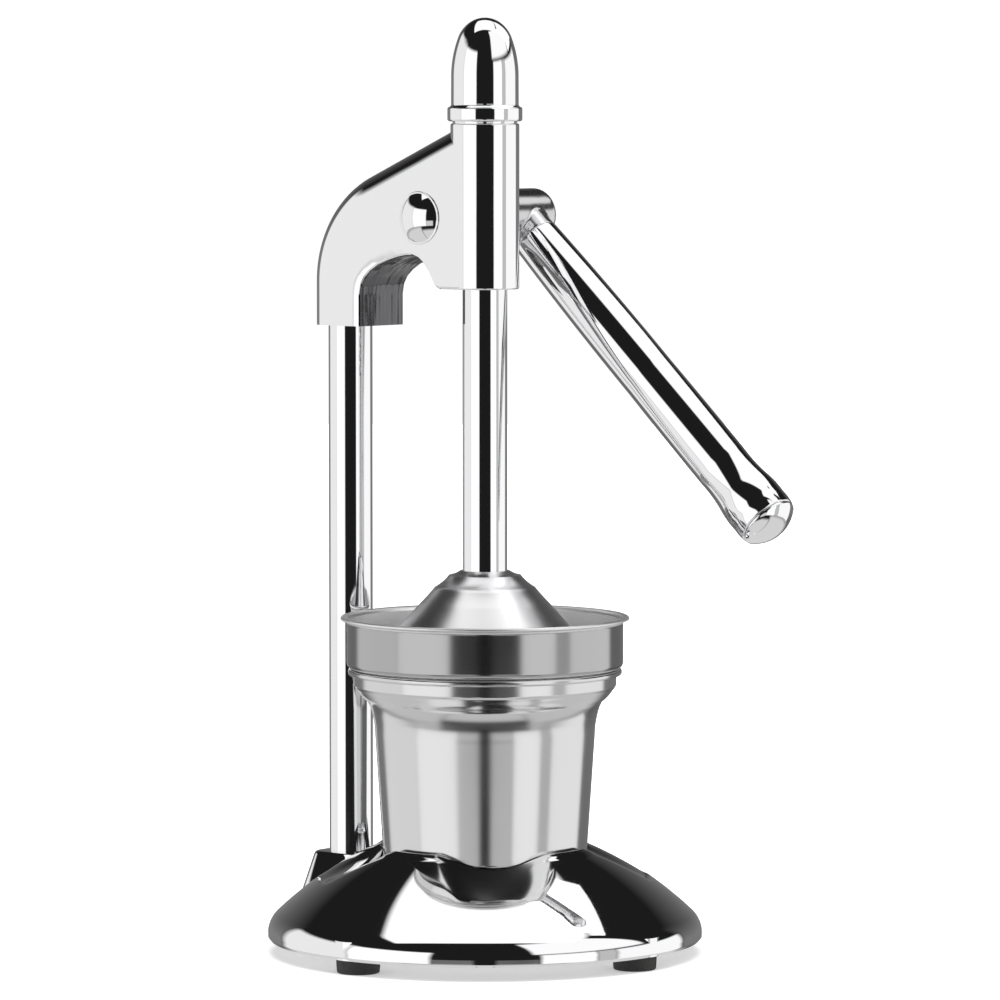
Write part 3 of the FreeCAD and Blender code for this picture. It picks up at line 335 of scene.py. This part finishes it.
BLACK_STEEL = metal("black_steel", (0.05, 0.05, 0.055), 0.35, 0.1, smudge=200)
BUSH_BRONZE = metal("bush_bronze", (0.66, 0.47, 0.22), 0.4, 0.1, smudge=300)
FOOT_RUBBER = rubber()
BUSH_PLASTIC = bush_plastic()

KEPT_NODES = {
    "column_plug": ZINC_STEEL, "column_washer": ZINC_STEEL, "column_bolt": ZINC_STEEL,
    "head_grub_screws": BLACK_STEEL, "plunger_bush": BUSH_PLASTIC,
    "shaft_bush_left": BUSH_BRONZE, "shaft_bush_right": BUSH_BRONZE,
    "thrust_washer": ZINC_STEEL, "pinion_key": ZINC_STEEL, "retaining_ring": BLACK_STEEL,
    "hub_set_screw": BLACK_STEEL, "bell_washer": ZINC_STEEL, "bell_screw": ZINC_STEEL,
    "strainer_disc": CUP_STEEL,
}


# ------------------------------------------------------------------ base

DOME_STOPS = [(92.6, 7.2), (92.6, 9.6), (88.5, 17.5, 0.2), (50.0, 44.3, 0.075)]
SEAT_RADIUS = 44.6
SEAT_FLOOR = 36.0
SCOOP_RADIUS = 53.0
SCOOP_FALL = math.radians(22)
SCOOP_RING_RADIUS, SCOOP_RING_HEIGHT = 46.0, 40.0
SCOOP_SOFTNESS = 3.0
SCOOP_END, SCOOP_LOWEST = 84.0, 20.0        # radius and height where the scooped slope stops
INSIDE_RADIUS, INSIDE_TOP = 80.0, 32.0      # the underside, and the slope level with it, stay


def scoop_height(x, y, turn):
    """The height in mm of one scoop's surface over a point, or None beside the scoop."""
    along = x * math.cos(turn) + y * math.sin(turn)
    aside = -x * math.sin(turn) + y * math.cos(turn)
    if along < 0 or abs(aside) >= SCOOP_RADIUS:
        return None
    floor = SCOOP_RING_HEIGHT - (along - SCOOP_RING_RADIUS) * math.tan(SCOOP_FALL)
    return floor + (SCOOP_RADIUS - math.sqrt(SCOOP_RADIUS ** 2 - aside ** 2)) / math.cos(SCOOP_FALL)


def soft_min(a, b, softness):
    """The lower of two heights, with the corner between them rounded."""
    blend = max(softness - abs(a - b), 0) / softness
    return min(a, b) - blend ** 2 * softness / 4


def can_be_scooped(radius, z):
    """Whether a point of the base's skin is high enough on the outside slope, or on the rim of the
    cup's seat, to be lowered by a scoop."""
    if radius < SEAT_RADIUS - NEAR or radius > SCOOP_END or z < SCOOP_LOWEST:
        return False
    if radius < INSIDE_RADIUS and z < INSIDE_TOP:
        return False
    return z >= SEAT_FLOOR + NEAR or radius >= SEAT_RADIUS + NEAR


def base():
    """The base casting with its four scoops, and the blocks under it for the column and feet."""
    outer = profile((88.6, 6.0), (91.6, 6.0), *DOME_STOPS, (47.2, 46.3, 0.12),
                    (45.6, 46.4, 0.35), (SEAT_RADIUS, 45.2, 0.4))
    inside = profile((SEAT_RADIUS, SEAT_FLOOR), (0, SEAT_FLOOR), (0, 31), (56, 31), (74, 22.5),
                     (88.2, 9.0), (88.2, 6.0))
    skin = lathe("base_casting_skin", outer + inside, around=FINE_ROUND, ring=True)
    for vertex in skin.data.vertices:
        x, y, z = vertex.co / MM
        radius = math.hypot(x, y)
        if not can_be_scooped(radius, z):
            continue
        for quarter in range(4):
            scoop = scoop_height(x, y, math.radians(45 + 90 * quarter))
            if scoop is not None:
                z = soft_min(z, scoop, SCOOP_SOFTNESS)
        vertex.co.z = max(z, SEAT_FLOOR * (radius < SEAT_RADIUS + NEAR)) * MM
    pieces = [put(skin, PRESS_AXIS), column_boss()]
    core = lathe("column_core", profile((8.4, 14.6), (8.4, 10), (14, 10), (14, 33), (4.05, 33),
                                        (4.05, 14.6)), around=64, ring=True)
    pieces.append(put(core, COLUMN_AXIS))
    for foot in ("foot_front", "foot_left", "foot_right", "foot_back"):
        low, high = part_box(foot)
        boss = lathe(foot + "_boss", profile((0, 7.5), (9.4, 7.5), (9.4, 6.1), (10.4, 6.1),
                                             (10.4, 14), (0, 14)), around=64)
        pieces.append(put(boss, ((low.x + high.x) / 2, (low.y + high.y) / 2, 0)))
    return join("base_casting_chrome", *pieces)


def column_boss():
    """The tapered block behind the cup that the column stands in."""
    bpy.ops.object.select_all(action="DESELECT")
    bpy.ops.mesh.primitive_cube_add(size=1)
    block = bpy.context.object
    for vertex in block.data.vertices:
        top = vertex.co.z > 0
        half, front, back = (13.3, 62.7, 89.3) if top else (26, 50, 89.8)
        vertex.co.x = math.copysign(half, vertex.co.x) * MM
        vertex.co.y = (back if vertex.co.y > 0 else front) * MM
        vertex.co.z = (37.5 if top else 12.0) * MM
    edit(block, "DESELECT")
    bpy.ops.mesh.select_mode(type="EDGE")
    close()
    upright = 5                 # least rise in mm of an edge at a corner of the block
    for edge in block.data.edges:
        ends = [block.data.vertices[index].co.z for index in edge.vertices]
        edge.select = abs(ends[0] - ends[1]) > upright * MM
    for face in block.data.polygons:
        face.select = False
    bpy.ops.object.mode_set(mode="EDIT")
    bpy.ops.mesh.bevel(offset=7 * MM, offset_type="OFFSET", segments=8, affect="EDGES")
    bpy.ops.mesh.select_mode(type="FACE")
    close()
    modify(block, "BEVEL", width=1.3 * MM, segments=4, limit_method="ANGLE",
           angle_limit=math.radians(50))
    return put(block, PRESS_AXIS)


def feet():
    """Four rubber feet."""
    for side in ("front", "left", "right", "back"):
        low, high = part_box("foot_" + side)
        foot = lathe("foot_rubber_" + side, profile(
            (0, 0.9), (5.2, 0.9), (5.8, 0), (8.2, 0), (9.0, 0.9, 0.41), (9.3, 5.6), (9.3, 7.5),
            (0, 7.5)), around=72)
        put(foot, ((low.x + high.x) / 2, (low.y + high.y) / 2, 0))
        finish(foot, FOOT_RUBBER, "foot_rubber", "frame", "foot_" + side)


def column():
    """The tube between the base and the head."""
    low, high = tube_low.z / MM, tube_high.z / MM
    tube = lathe("column_tube_chrome", profile((8, low), (9.5, low), (9.5, high), (8, high)),
                 ring=True)
    finish(put(tube, COLUMN_AXIS), TUBE_CHROME, "chrome_tube", "frame", "column_tube")


# ------------------------------------------------------------------ head

HEAD_HALF = 14.55
HEAD_LOW = 266.0
BEND = (41.0, 284.9, 35.0)
BEND_TURN = math.radians(66.6)
SPINE_END = (0.0, 340.8)
ARCH = [(58, 266), (58, 272), (58, 279.5), (57.2, 283.6), (55.2, 287.0), (52, 289.9),
        (47.5, 292.6), (42, 294.6), (36.5, 296.1), (32, 296.9), (28, 296.9), (24.4, 295.6),
        (21.4, 293.2), (18.9, 290.0), (16.9, 286.6), (15.4, 284.0), (13.6, 283.0), (8, 283),
        (0, 283)]
ARCH_EDGE = 1.3
ROUND_STEPS = 26
FLAT_STEPS = 5
HEAD_STATIONS = 96
ARCH_TOP = 298.0                # height above which a face isn't in the arch
ARCH_NEAR = 1.2                 # distance from the arch's line that still counts as on it
SIDE_FACING = 0.75              # share of a normal along X that makes a face a side face


def spine_point(share):
    """A point of the spine's centre line and its outward normal, share running from 0 at the
    column's end to 1 in the barrel."""
    leg = BEND[1] - HEAD_LOW
    bend = BEND[2] * BEND_TURN
    knee = (BEND[0] + BEND[2] * math.cos(BEND_TURN), BEND[1] + BEND[2] * math.sin(BEND_TURN))
    slope = math.dist(knee, SPINE_END)
    travel = share * (leg + bend + slope)
    if travel < leg:
        return (BEND[0] + BEND[2], HEAD_LOW + travel), (1.0, 0.0)
    if travel < leg + bend:
        angle = (travel - leg) / BEND[2]
        out = (math.cos(angle), math.sin(angle))
        return (BEND[0] + BEND[2] * out[0], BEND[1] + BEND[2] * out[1]), out
    part = (travel - leg - bend) / slope
    spot = tuple(a + (b - a) * part for a, b in zip(knee, SPINE_END))
    return spot, (math.cos(BEND_TURN), math.sin(BEND_TURN))


def along_line(line, share):
    """The point at a share of the length of a line of points."""
    lengths = [math.dist(a, b) for a, b in zip(line, line[1:])]
    left = share * sum(lengths)
    for (a, b), length in zip(zip(line, line[1:]), lengths):
        if left <= length:
            return Vector(a).lerp(Vector(b), left / length)
        left -= length
    return Vector(line[-1])


def head_ring(share):
    """One closed section of the head: round over the spine, flat at the sides, and square with
    softened edges at the arch."""
    (y, z), out = spine_point(share)
    inner = along_line(ARCH, share)
    ring = []
    for step in range(ROUND_STEPS + 1):
        angle = math.pi * step / ROUND_STEPS
        aside, lift = HEAD_HALF * math.cos(angle), HEAD_HALF * math.sin(angle)
        ring.append((aside, y + out[0] * lift, z + out[1] * lift))
    towards = (Vector((y, z)) - inner).normalized()
    corner = inner + towards * ARCH_EDGE
    for step in range(1, FLAT_STEPS):
        spot = Vector((y, z)).lerp(corner, step / FLAT_STEPS)
        ring.append((-HEAD_HALF, spot.x, spot.y))
    for side in (-1, 1):
        for step in range(5):
            angle = math.pi / 2 * (step if side < 0 else 4 - step) / 4
            aside = HEAD_HALF - ARCH_EDGE + ARCH_EDGE * math.cos(angle)
            spot = inner + towards * ARCH_EDGE * (1 - math.sin(angle))
            ring.append((side * aside, spot.x, spot.y))
    for step in range(FLAT_STEPS - 1, 0, -1):
        spot = Vector((y, z)).lerp(corner, step / FLAT_STEPS)
        ring.append((HEAD_HALF, spot.x, spot.y))
    return [Vector(point) * MM for point in ring]


def head():
    """The web, made ring by ring along its spine, with the barrel and the shaft's boss."""
    first = head_ring(0)
    bpy.ops.object.select_all(action="DESELECT")
    bpy.ops.mesh.primitive_circle_add(vertices=len(first), radius=10 * MM)
    web = bpy.context.object
    for vertex, spot in zip(web.data.vertices, first):
        vertex.co = spot
    for station in range(1, HEAD_STATIONS + 1):
        before = len(web.data.vertices) - len(first)
        edit(web, "DESELECT")
        close()
        for vertex in web.data.vertices:
            vertex.select = vertex.index >= before
        for line in web.data.edges:
            line.select = min(line.vertices) >= before
        bpy.ops.object.mode_set(mode="EDIT")
        bpy.ops.mesh.extrude_edges_move()
        close()
        fresh = web.data.vertices[-len(first):]
        for vertex, spot in zip(fresh, head_ring(station / HEAD_STATIONS)):
            vertex.co = spot
    edit(web, "DESELECT")
    bpy.ops.mesh.select_non_manifold()
    bpy.ops.mesh.edge_face_add()
    bpy.ops.mesh.select_all(action="SELECT")
    bpy.ops.mesh.normals_make_consistent(inside=False)
    close()
    put(web, PRESS_AXIS)
    barrel = lathe("barrel", profile(
        (9.6, 283.0), (13.9, 283.0), (14.6, 283.7, 0.41), (14.6, 352.4), (13.9, 353.1, 0.41),
        (9.6, 353.1)), ring=True)
    put(barrel, PRESS_AXIS)
    boss = lathe("bearing_boss", profile(
        (9.1, 5), (12.5, 5), (12.5, 32.8), (11.3, 34, 0.41), (9.1, 34)), around=96, ring=True)
    put(boss, SHAFT, TO_X)
    return join("head_casting_chrome", web, barrel, boss)


def in_arch_painted_shade(centre, normal):
    """Whether a face of the head belongs to the inside of its arch, which takes the darker chrome as
    painted shade.
    """
    if abs(normal.x) > SIDE_FACING or centre.z > ARCH_TOP:
        return False
    spot = centre.yz
    for start, end in zip(ARCH[:-3], ARCH[1:-2]):
        start, end = Vector(start), Vector(end)
        share = min(1, max(0, (spot - start).dot(end - start) / (end - start).length_squared))
        if (start.lerp(end, share) - spot).length < ARCH_NEAR:
            return True
    return False


def barrel_cap():
    """The domed cap on the barrel."""
    cap = lathe("barrel_cap_chrome", profile(
        (10.6, 345.1), (12.0, 345.1), (12.0, 353.2), (13.7, 353.2), (13.8, 353.9), (14.9, 354.0),
        (15.9, 355.0, 0.41), (15.9, 359.0), (15.0, 360.1, 0.41), (14.6, 360.5), (14.35, 361.3, -0.3),
        (14.3, 372.0), (11.6, 388.6, 0.09), (6.8, 395.5, 0.16),
        (0, 397.8, dome(6.8, 2.3)),
        (0, 390), (6.4, 390), (10.6, 383.6)), ring=True)
    finish(put(cap, PRESS_AXIS), CAST_CHROME, "chrome_casting", "frame", "barrel_cap")


def dome_cap():
    """The small domed cap over the shaft's left end."""
    cap = lathe("axle_dome_cap_chrome", profile(
        (10.2, 14.0), (11.3, 14.0), (11.3, 14.7), (11.0, 15.1, 0.41), (10.4, 15.1), (10.2, 15.3),
        (0, 19.2, dome(10.2, 3.9)), (0, 18.3), (9.4, 15, -dome(9.4, 3.3))), around=96, ring=True)
    finish(put(cap, SHAFT, TO_MINUS_X), CAST_CHROME, "chrome_tube", "frame", "axle_dome_cap")


# ------------------------------------------------------------------ handle


def handle_hub():
    """The hub and its neck, cast as one, with a fillet where they meet."""
    hub = lathe("hub", profile((0, 35), (10.2, 35), (11.6, 36.4, 0.41), (11.6, 61.5),
                               (7.1, 66, 0.41), (0, 66)), around=96)
    put(hub, SHAFT, TO_X)
    neck = lathe("neck", profile((0, 0), (9.9, 0), (9.9, 13.5), (9.9, 15), (0, 15)), around=96)
    put(neck, SHAFT + Vector((HANDLE_X, 0, 0)), DOWN_HANDLE)
    whole = join("handle_hub_chrome", hub, neck)
    modify(whole, "REMESH", mode="VOXEL", voxel_size=HUB_VOXEL)
    modify(whole, "SMOOTH", factor=0.5, iterations=HUB_ROUNDING)
    return whole


def handle():
    """The hub, the flared tube and the cap at its end."""
    finish(handle_hub(), HUB_CHROME, "chrome_casting", "handle", "handle_hub", angle=60)
    tube = lathe("handle_tube_chrome", profile(
        (8.1, 15.1), (9.8, 15.1), (10.1, 15.4, 0.4), (11.5, 100, 0.01), (11.75, 154, 0.004),
        (12.5, 169, -0.05), (13.1, 180, 0.06), (12.9, 185.8, 0.06), (12.4, 186.5, 0.3),
        (11.9, 186.5), (10.2, 156), (9.9, 100)), around=128, ring=True)
    put(tube, SHAFT + Vector((HANDLE_X, 0, 0)), DOWN_HANDLE)
    finish(tube, TUBE_CHROME, "chrome_tube", "handle", "handle_tube")
    cap = lathe("handle_end_cap_chrome", profile(
        (0, 179), (9.8, 179), (11.8, 186.6), (12.1, 186.6), (12.5, 187.0, 0.41), (12.3, 187.7, 0.1),
        (0, 193.2, dome(12.3, 5.5))), around=128)
    put(cap, SHAFT + Vector((HANDLE_X, 0, 0)), DOWN_HANDLE)
    finish(cap, CAST_CHROME, "chrome_tube", "handle", "handle_end_cap")


def merged_copy(node, name):
    """A copy of a node's mesh, with its loose triangles merged, so that it can be shaded smooth."""
    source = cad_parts[node]
    piece = source.copy()
    piece.data = source.data.copy()
    piece.name = piece.data.name = name
    for key in list(piece.keys()):
        del piece[key]
    piece.parent = None
    bpy.context.scene.collection.objects.link(piece)
    piece.matrix_world = Matrix.Identity(4)
    edit(piece)
    bpy.ops.mesh.remove_doubles(threshold=0.001 * MM)
    close()
    return piece


# ------------------------------------------------------------------ plunger, cup and bowl


def rack_plunger():
    """The rod, with the rack milled in its back."""
    low, high = rod_low.z / MM, rod_high.z / MM
    half_space, half_root = 2.3, 0.8
    spaces = [RACK_LOW + RACK_PITCH * step for step in range(RACK_SPACES)]
    rows = [Vector((ROD_RADIUS, level + side)) for level in spaces
            for side in (-half_space, -half_root, half_root, half_space)]
    foot = profile((ROD_BORE, low), (ROD_RADIUS, low))
    top = profile((ROD_RADIUS, high - 1), (ROD_RADIUS - 1, high), (0, high),
                  (0, low + ROD_BORE_DEPTH), (ROD_BORE, low + ROD_BORE_DEPTH))
    rod = lathe("rack_plunger_chrome", foot + rows + top, around=ROUND, ring=True)
    for vertex in rod.data.vertices:
        x, y, z = vertex.co / MM
        at_root = any(abs(z - level) < half_root + NEAR for level in spaces)
        if at_root and abs(x) < RACK_HALF and y > RACK_ROOT:
            vertex.co.y = RACK_ROOT * MM
    finish(put(rod, PRESS_AXIS), TUBE_CHROME, "chrome_tube", "plunger", "rack_plunger", angle=20)


def press_bell():
    """The aluminium bell on the rod."""
    bell = lathe("press_bell_aluminium", profile(
        (4.3, 161.2), (4.3, 163.3), (10.6, 163.3), (15.3, 161.4, 0.12), (21.4, 156.2, 0.1),
        (27.5, 149.4, 0.03), (36.0, 139.8), (44.6, 130.2), (46.0, 127.2, 0.25), (46.0, 126.0),
        (44.4, 126.0), (43.6, 129.0, -0.2), (20.0, 154.8), (12.0, 160.6, -0.15)),
        around=ROUND, ring=True)
    finish(put(bell, PRESS_AXIS), BELL_ALUMINIUM, "polished_aluminium", "plunger", "press_bell")


def juice_cup():
    """The steel cup that stands in the base."""
    cup = lathe("juice_cup_steel", profile(
        (0, 36.3), (37.6, 36.3), (43.5, 42.5, 0.37), (46.9, 94.0), (47.9, 101.5, -0.06),
        (50.0, 107.6, -0.08), (54.6, 112.6, 0.10), (55.7, 114.3, 0.12), (56.0, 114.6), (56.0, 118.9),
        (57.6, 119.0), (58.3, 120.2, 0.41), (57.4, 121.5, 0.41), (55.2, 121.5), (55.0, 114.8),
        (49.2, 108.4), (46.6, 100.0), (45.9, 94.0), (42.6, 43.0), (37.6, 37.4, -0.37), (0, 37.4)),
        around=ROUND)
    finish(put(cup, PRESS_AXIS), CUP_STEEL, "brushed_stainless", "cup", "juice_cup")


BOWL_OUTSIDE, BOWL_LIP = 58.3, 141.2     # lighter steel as painted light within this radius and above this height


def painted_light_inside(centre, normal):
    """Whether a face of the bowl is inside it or on its lip, which take the lighter steel as painted
    light.
    """
    return centre.xy.length < BOWL_OUTSIDE or centre.z > BOWL_LIP


def strainer_bowl():
    """The steel bowl on the cup, with its rolled lip."""
    bowl = lathe("strainer_bowl_steel", profile(
        (53.6, 116.6), (54.6, 116.6), (54.6, 121.8), (56.4, 121.8), (58.9, 124.3, 0.41),
        (58.9, 140.8), (59.4, 141.8, -0.2), (61.0, 142.4, -0.1), (61.4, 143.1, 0.5),
        (60.6, 143.8, 0.41), (58.9, 143.5), (57.9, 142.0, -0.25), (57.9, 124.5),
        (56.2, 122.8, -0.41), (51.6, 122.8), (51.6, 121.8), (53.6, 121.8)), ring=True)
    return finish(put(bowl, PRESS_AXIS), BOWL_STEEL, "satin_stainless", "bowl", "strainer_bowl")


def reamer():
    """The fluted cone under the bell."""
    level, flutes = 123.8, 10
    flute_foot, flute_depth = 2.3, 2.6
    cone = lathe("reamer_aluminium", profile(
        (0, level - 1), (11.9, level - 1), (11.9, level), (38.2, level), (39.0, level + 0.8, 0.41),
        (38.4, level + 1.8, 0.41), (34.5, level + 2.2), (26, level + 6.6), (16, level + 12.2),
        (7.6, level + 16.8), (3.4, level + 19.8, 0.2), (0, level + 20.5, 0.15)), around=200)
    modify(cone, "SUBSURF", subdivision_type="SIMPLE", levels=1, render_levels=1)
    for vertex in cone.data.vertices:
        x, y, z = vertex.co / MM
        radius, rise = math.hypot(x, y), z - level
        if rise < flute_foot or radius < 1:
            continue
        wave = 0.5 - 0.5 * math.cos(flutes * math.atan2(y, x))
        fade = min(1, (rise - flute_foot) / 3) * min(1, (radius - 1) / 4)
        vertex.co.z -= flute_depth * MM * wave ** 0.8 * fade
    finish(put(cone, PRESS_AXIS), BELL_ALUMINIUM, "polished_aluminium", "bowl", "reamer_cone",
           angle=60)


# ------------------------------------------------------------------ studio

CAMERA_AZIMUTH = math.radians(-50)
CAMERA_DISTANCE = 2.624
CAMERA_HEIGHT = 0.374
CAMERA_ASIDE = 6.4 * MM
CAMERA_PITCH = math.radians(3.94)
CAMERA_LENS = 222.7
SENSOR = 36.0


def math_node(nodes, links, operation, *values, clamp=False):
    """One calculation on numbers or sockets, as the socket that holds its result."""
    node = nodes.new("ShaderNodeMath")
    node.operation = operation
    node.use_clamp = clamp
    for socket, value in zip(node.inputs, values):
        if isinstance(value, (int, float)):
            socket.default_value = value
        else:
            links.new(value, socket)
    return node.outputs[0]


def band(nodes, links, value, low, high, soft):
    """1 where a value lies between two limits, with soft edges."""
    up = math_node(nodes, links, "MULTIPLY_ADD", value, 1 / soft, 0.5 - low / soft, clamp=True)
    down = math_node(nodes, links, "MULTIPLY_ADD", value, -1 / soft, 0.5 + high / soft, clamp=True)
    return math_node(nodes, links, "MULTIPLY", up, down)


# Light panels round the press: bearing from the camera to the right in degrees, height above
# level in degrees, brightness, and the softness of the upright and of the level edges in degrees.
PANELS = [
    (30, 62, -25, 15, 1.12, 3, 3),
    (62, 74, -25, 15, 0.55, 3, 3),
    (74, 128, -25, 14, 1.05, 5, 3),
    (26, 96, 18, 62, 1.08, 3, 4),
    (-78, -29, -25, 25, 1.12, 3, 3),
    (-134, -76, -25, 26, 0.90, 8, 5),
    (128, 240, -25, 16, 0.20, 10, 36),
    (-240, -134, -25, 16, 0.22, 10, 36),
    (-29, -6, -25, -9, 0.66, 3, 3),
    (6, 29, -25, -9, 0.66, 3, 3),
    (-50, 50, -95, -37, 0.70, 8, 8),
    (-400, -50, -95, -25, 0.70, 8, 12),
    (50, 400, -95, -25, 0.70, 8, 12),
]
# The panel overhead, at a height of 1 above the press: its far and near ends, counted towards the
# camera, its half width, how much that grows towards the camera, brightness and edge softness.
CEILING = (-0.80, 0.33, 0.61, 0.38, 1.12, 0.05)
ROOM_DARK = 0.012               # light of the room between the panels
BACKDROP = 1.05                 # brightness behind the press
LEVEL_GUARD = 0.05              # keeps the ceiling's sums finite near the horizon
NO_END = -9                     # a limit that is never reached


def studio():
    """A dark room with white panels to each side and overhead, which bright metal mirrors as
    clean bands."""
    world = bpy.data.worlds.new("studio")
    bpy.context.scene.world = world
    world.use_nodes = True
    nodes, links = world.node_tree.nodes, world.node_tree.links
    nodes.clear()
    coordinates = nodes.new("ShaderNodeTexCoord")
    turn = nodes.new("ShaderNodeVectorRotate")
    turn.rotation_type = "Z_AXIS"
    turn.inputs["Angle"].default_value = math.pi / 2 - CAMERA_AZIMUTH
    links.new(coordinates.outputs["Generated"], turn.inputs["Vector"])
    split = nodes.new("ShaderNodeSeparateXYZ")
    links.new(turn.outputs["Vector"], split.inputs["Vector"])
    toward, right, up = split.outputs
    bearing = math_node(nodes, links, "ARCTAN2", right, toward)
    bearing = math_node(nodes, links, "MULTIPLY", bearing, 180 / math.pi)
    height = math_node(nodes, links, "ARCSINE", up)
    height = math_node(nodes, links, "MULTIPLY", height, 180 / math.pi)
    total = None
    for left, right_end, low, high, bright, soft, fade in PANELS:
        wide = band(nodes, links, bearing, left, right_end, soft)
        tall = band(nodes, links, height, low, high, fade)
        glow = math_node(nodes, links, "MULTIPLY", wide, tall)
        glow = math_node(nodes, links, "MULTIPLY", glow, bright)
        total = glow if total is None else math_node(nodes, links, "MAXIMUM", total, glow)
    far, near, half, taper, bright, soft = CEILING
    safe_up = math_node(nodes, links, "MAXIMUM", up, LEVEL_GUARD)
    ahead = math_node(nodes, links, "DIVIDE", toward, safe_up)
    aside = math_node(nodes, links, "ABSOLUTE", math_node(nodes, links, "DIVIDE", right, safe_up))
    aside = math_node(nodes, links, "MULTIPLY_ADD", ahead, -taper, aside)
    glow = math_node(nodes, links, "MULTIPLY", band(nodes, links, ahead, far, near, soft),
                     band(nodes, links, aside, NO_END, half, soft))
    glow = math_node(nodes, links, "MULTIPLY", glow, bright)
    total = math_node(nodes, links, "MAXIMUM", total, glow)
    total = math_node(nodes, links, "MAXIMUM", total, ROOM_DARK)
    room = nodes.new("ShaderNodeBackground")
    links.new(total, room.inputs["Color"])
    backdrop = nodes.new("ShaderNodeBackground")
    backdrop.inputs["Color"].default_value = (1, 1, 1, 1)
    backdrop.inputs["Strength"].default_value = BACKDROP
    path = nodes.new("ShaderNodeLightPath")
    mix = nodes.new("ShaderNodeMixShader")
    links.new(path.outputs["Is Camera Ray"], mix.inputs["Fac"])
    links.new(room.outputs["Background"], mix.inputs[1])
    links.new(backdrop.outputs["Background"], mix.inputs[2])
    output = nodes.new("ShaderNodeOutputWorld")
    links.new(mix.outputs["Shader"], output.inputs["Surface"])


def floor():
    """A white floor that glows more with distance, so that it runs into the backdrop."""
    bpy.ops.object.select_all(action="DESELECT")
    bpy.ops.mesh.primitive_circle_add(vertices=128, radius=4, fill_type="NGON")
    ground = bpy.context.object
    ground.name = "floor"
    material = bpy.data.materials.new("floor_white")
    material.use_nodes = True
    nodes, links = material.node_tree.nodes, material.node_tree.links
    shader = nodes["Principled BSDF"]
    shader.inputs["Roughness"].default_value = 0.9
    shader.inputs["Specular IOR Level"].default_value = 0.0
    shader.inputs["Base Color"].default_value = (0.90, 0.90, 0.90, 1)
    shader.inputs["Emission Color"].default_value = (1, 1, 1, 1)
    coordinates = nodes.new("ShaderNodeTexCoord")
    reach = nodes.new("ShaderNodeVectorMath")
    reach.operation = "LENGTH"
    links.new(coordinates.outputs["Object"], reach.inputs[0])
    fade = nodes.new("ShaderNodeMapRange")
    fade.inputs["From Min"].default_value = 0.10
    fade.inputs["From Max"].default_value = 0.45
    fade.inputs["To Min"].default_value = 0.32
    fade.inputs["To Max"].default_value = 1.0
    links.new(reach.outputs["Value"], fade.inputs["Value"])
    links.new(fade.outputs["Result"], shader.inputs["Emission Strength"])
    ground.data.materials.append(material)
    ground.visible_glossy = False


def light(name, place, aim, size, power, mirrored=False):
    """A square lamp aimed at a point; mirrored ones also show in the metal."""
    bpy.ops.object.select_all(action="DESELECT")
    bpy.ops.object.light_add(type="AREA", location=place)
    lamp = bpy.context.object
    lamp.name = name
    lamp.data.size = size
    lamp.data.energy = power
    lamp.rotation_euler = (Vector(aim) - Vector(place)).to_track_quat("-Z", "Y").to_euler()
    lamp.visible_glossy = mirrored
    lamp.visible_camera = False


def camera():
    """A long lens to the left front of the press, a little above it."""
    toward = Vector((math.sin(CAMERA_AZIMUTH), -math.cos(CAMERA_AZIMUTH), 0))
    right = Vector((math.cos(CAMERA_AZIMUTH), math.sin(CAMERA_AZIMUTH), 0))
    place = PRESS_AXIS + toward * CAMERA_DISTANCE + right * CAMERA_ASIDE
    place.z = CAMERA_HEIGHT
    look = -toward * math.cos(CAMERA_PITCH) - Vector((0, 0, math.sin(CAMERA_PITCH)))
    bpy.ops.object.camera_add(location=place)
    eye = bpy.context.object
    eye.name = "camera"
    eye.rotation_euler = look.to_track_quat("-Z", "Y").to_euler()
    eye.data.lens = CAMERA_LENS
    eye.data.sensor_width = SENSOR
    eye.data.clip_end = 20
    bpy.context.scene.camera = eye


# ------------------------------------------------------------------ assembly

finish(base(), CAST_CHROME, "chrome_casting", "frame", "base_casting", angle=40)
feet()
column()
casting = finish(head(), CAST_CHROME, "chrome_casting", "frame", "head_casting", angle=40)
# The inside of the arch takes the darker chrome as painted shade.
second_material(casting, ARCH_PAINTED_SHADE_CHROME, in_arch_painted_shade)
barrel_cap()
dome_cap()
handle()
for node, name, material, slot, body in (
        ("pinion_shaft", "pinion_shaft_chrome", TUBE_CHROME, "chrome_tube", "handle"),
        ("drive_pinion", "drive_pinion_steel", GEAR_STEEL, "gear_steel", "handle")):
    finish(merged_copy(node, name), material, slot, body, node)
rack_plunger()
press_bell()
juice_cup()
# The bowl's inside and lip take the lighter steel as painted light.
second_material(strainer_bowl(), BOWL_INSIDE_PAINTED_LIGHT, painted_light_inside)
reamer()
for node, material in KEPT_NODES.items():
    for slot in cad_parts[node].material_slots:
        slot.material = material

studio()
floor()
light("overhead", (-0.5, -0.4, 2.2), (0, 0, 0), 1.6, 34)
light("left_fill", (-2.0, 0.6, 1.0), (0, 0, 0.2), 1.2, 8)
light("handle_card", (0.23, -0.085, 0.56), (0.045, -0.01, 0.24), 0.24, 0.2, mirrored=True)
camera()
bpy.context.scene.view_settings.view_transform = "Standard"
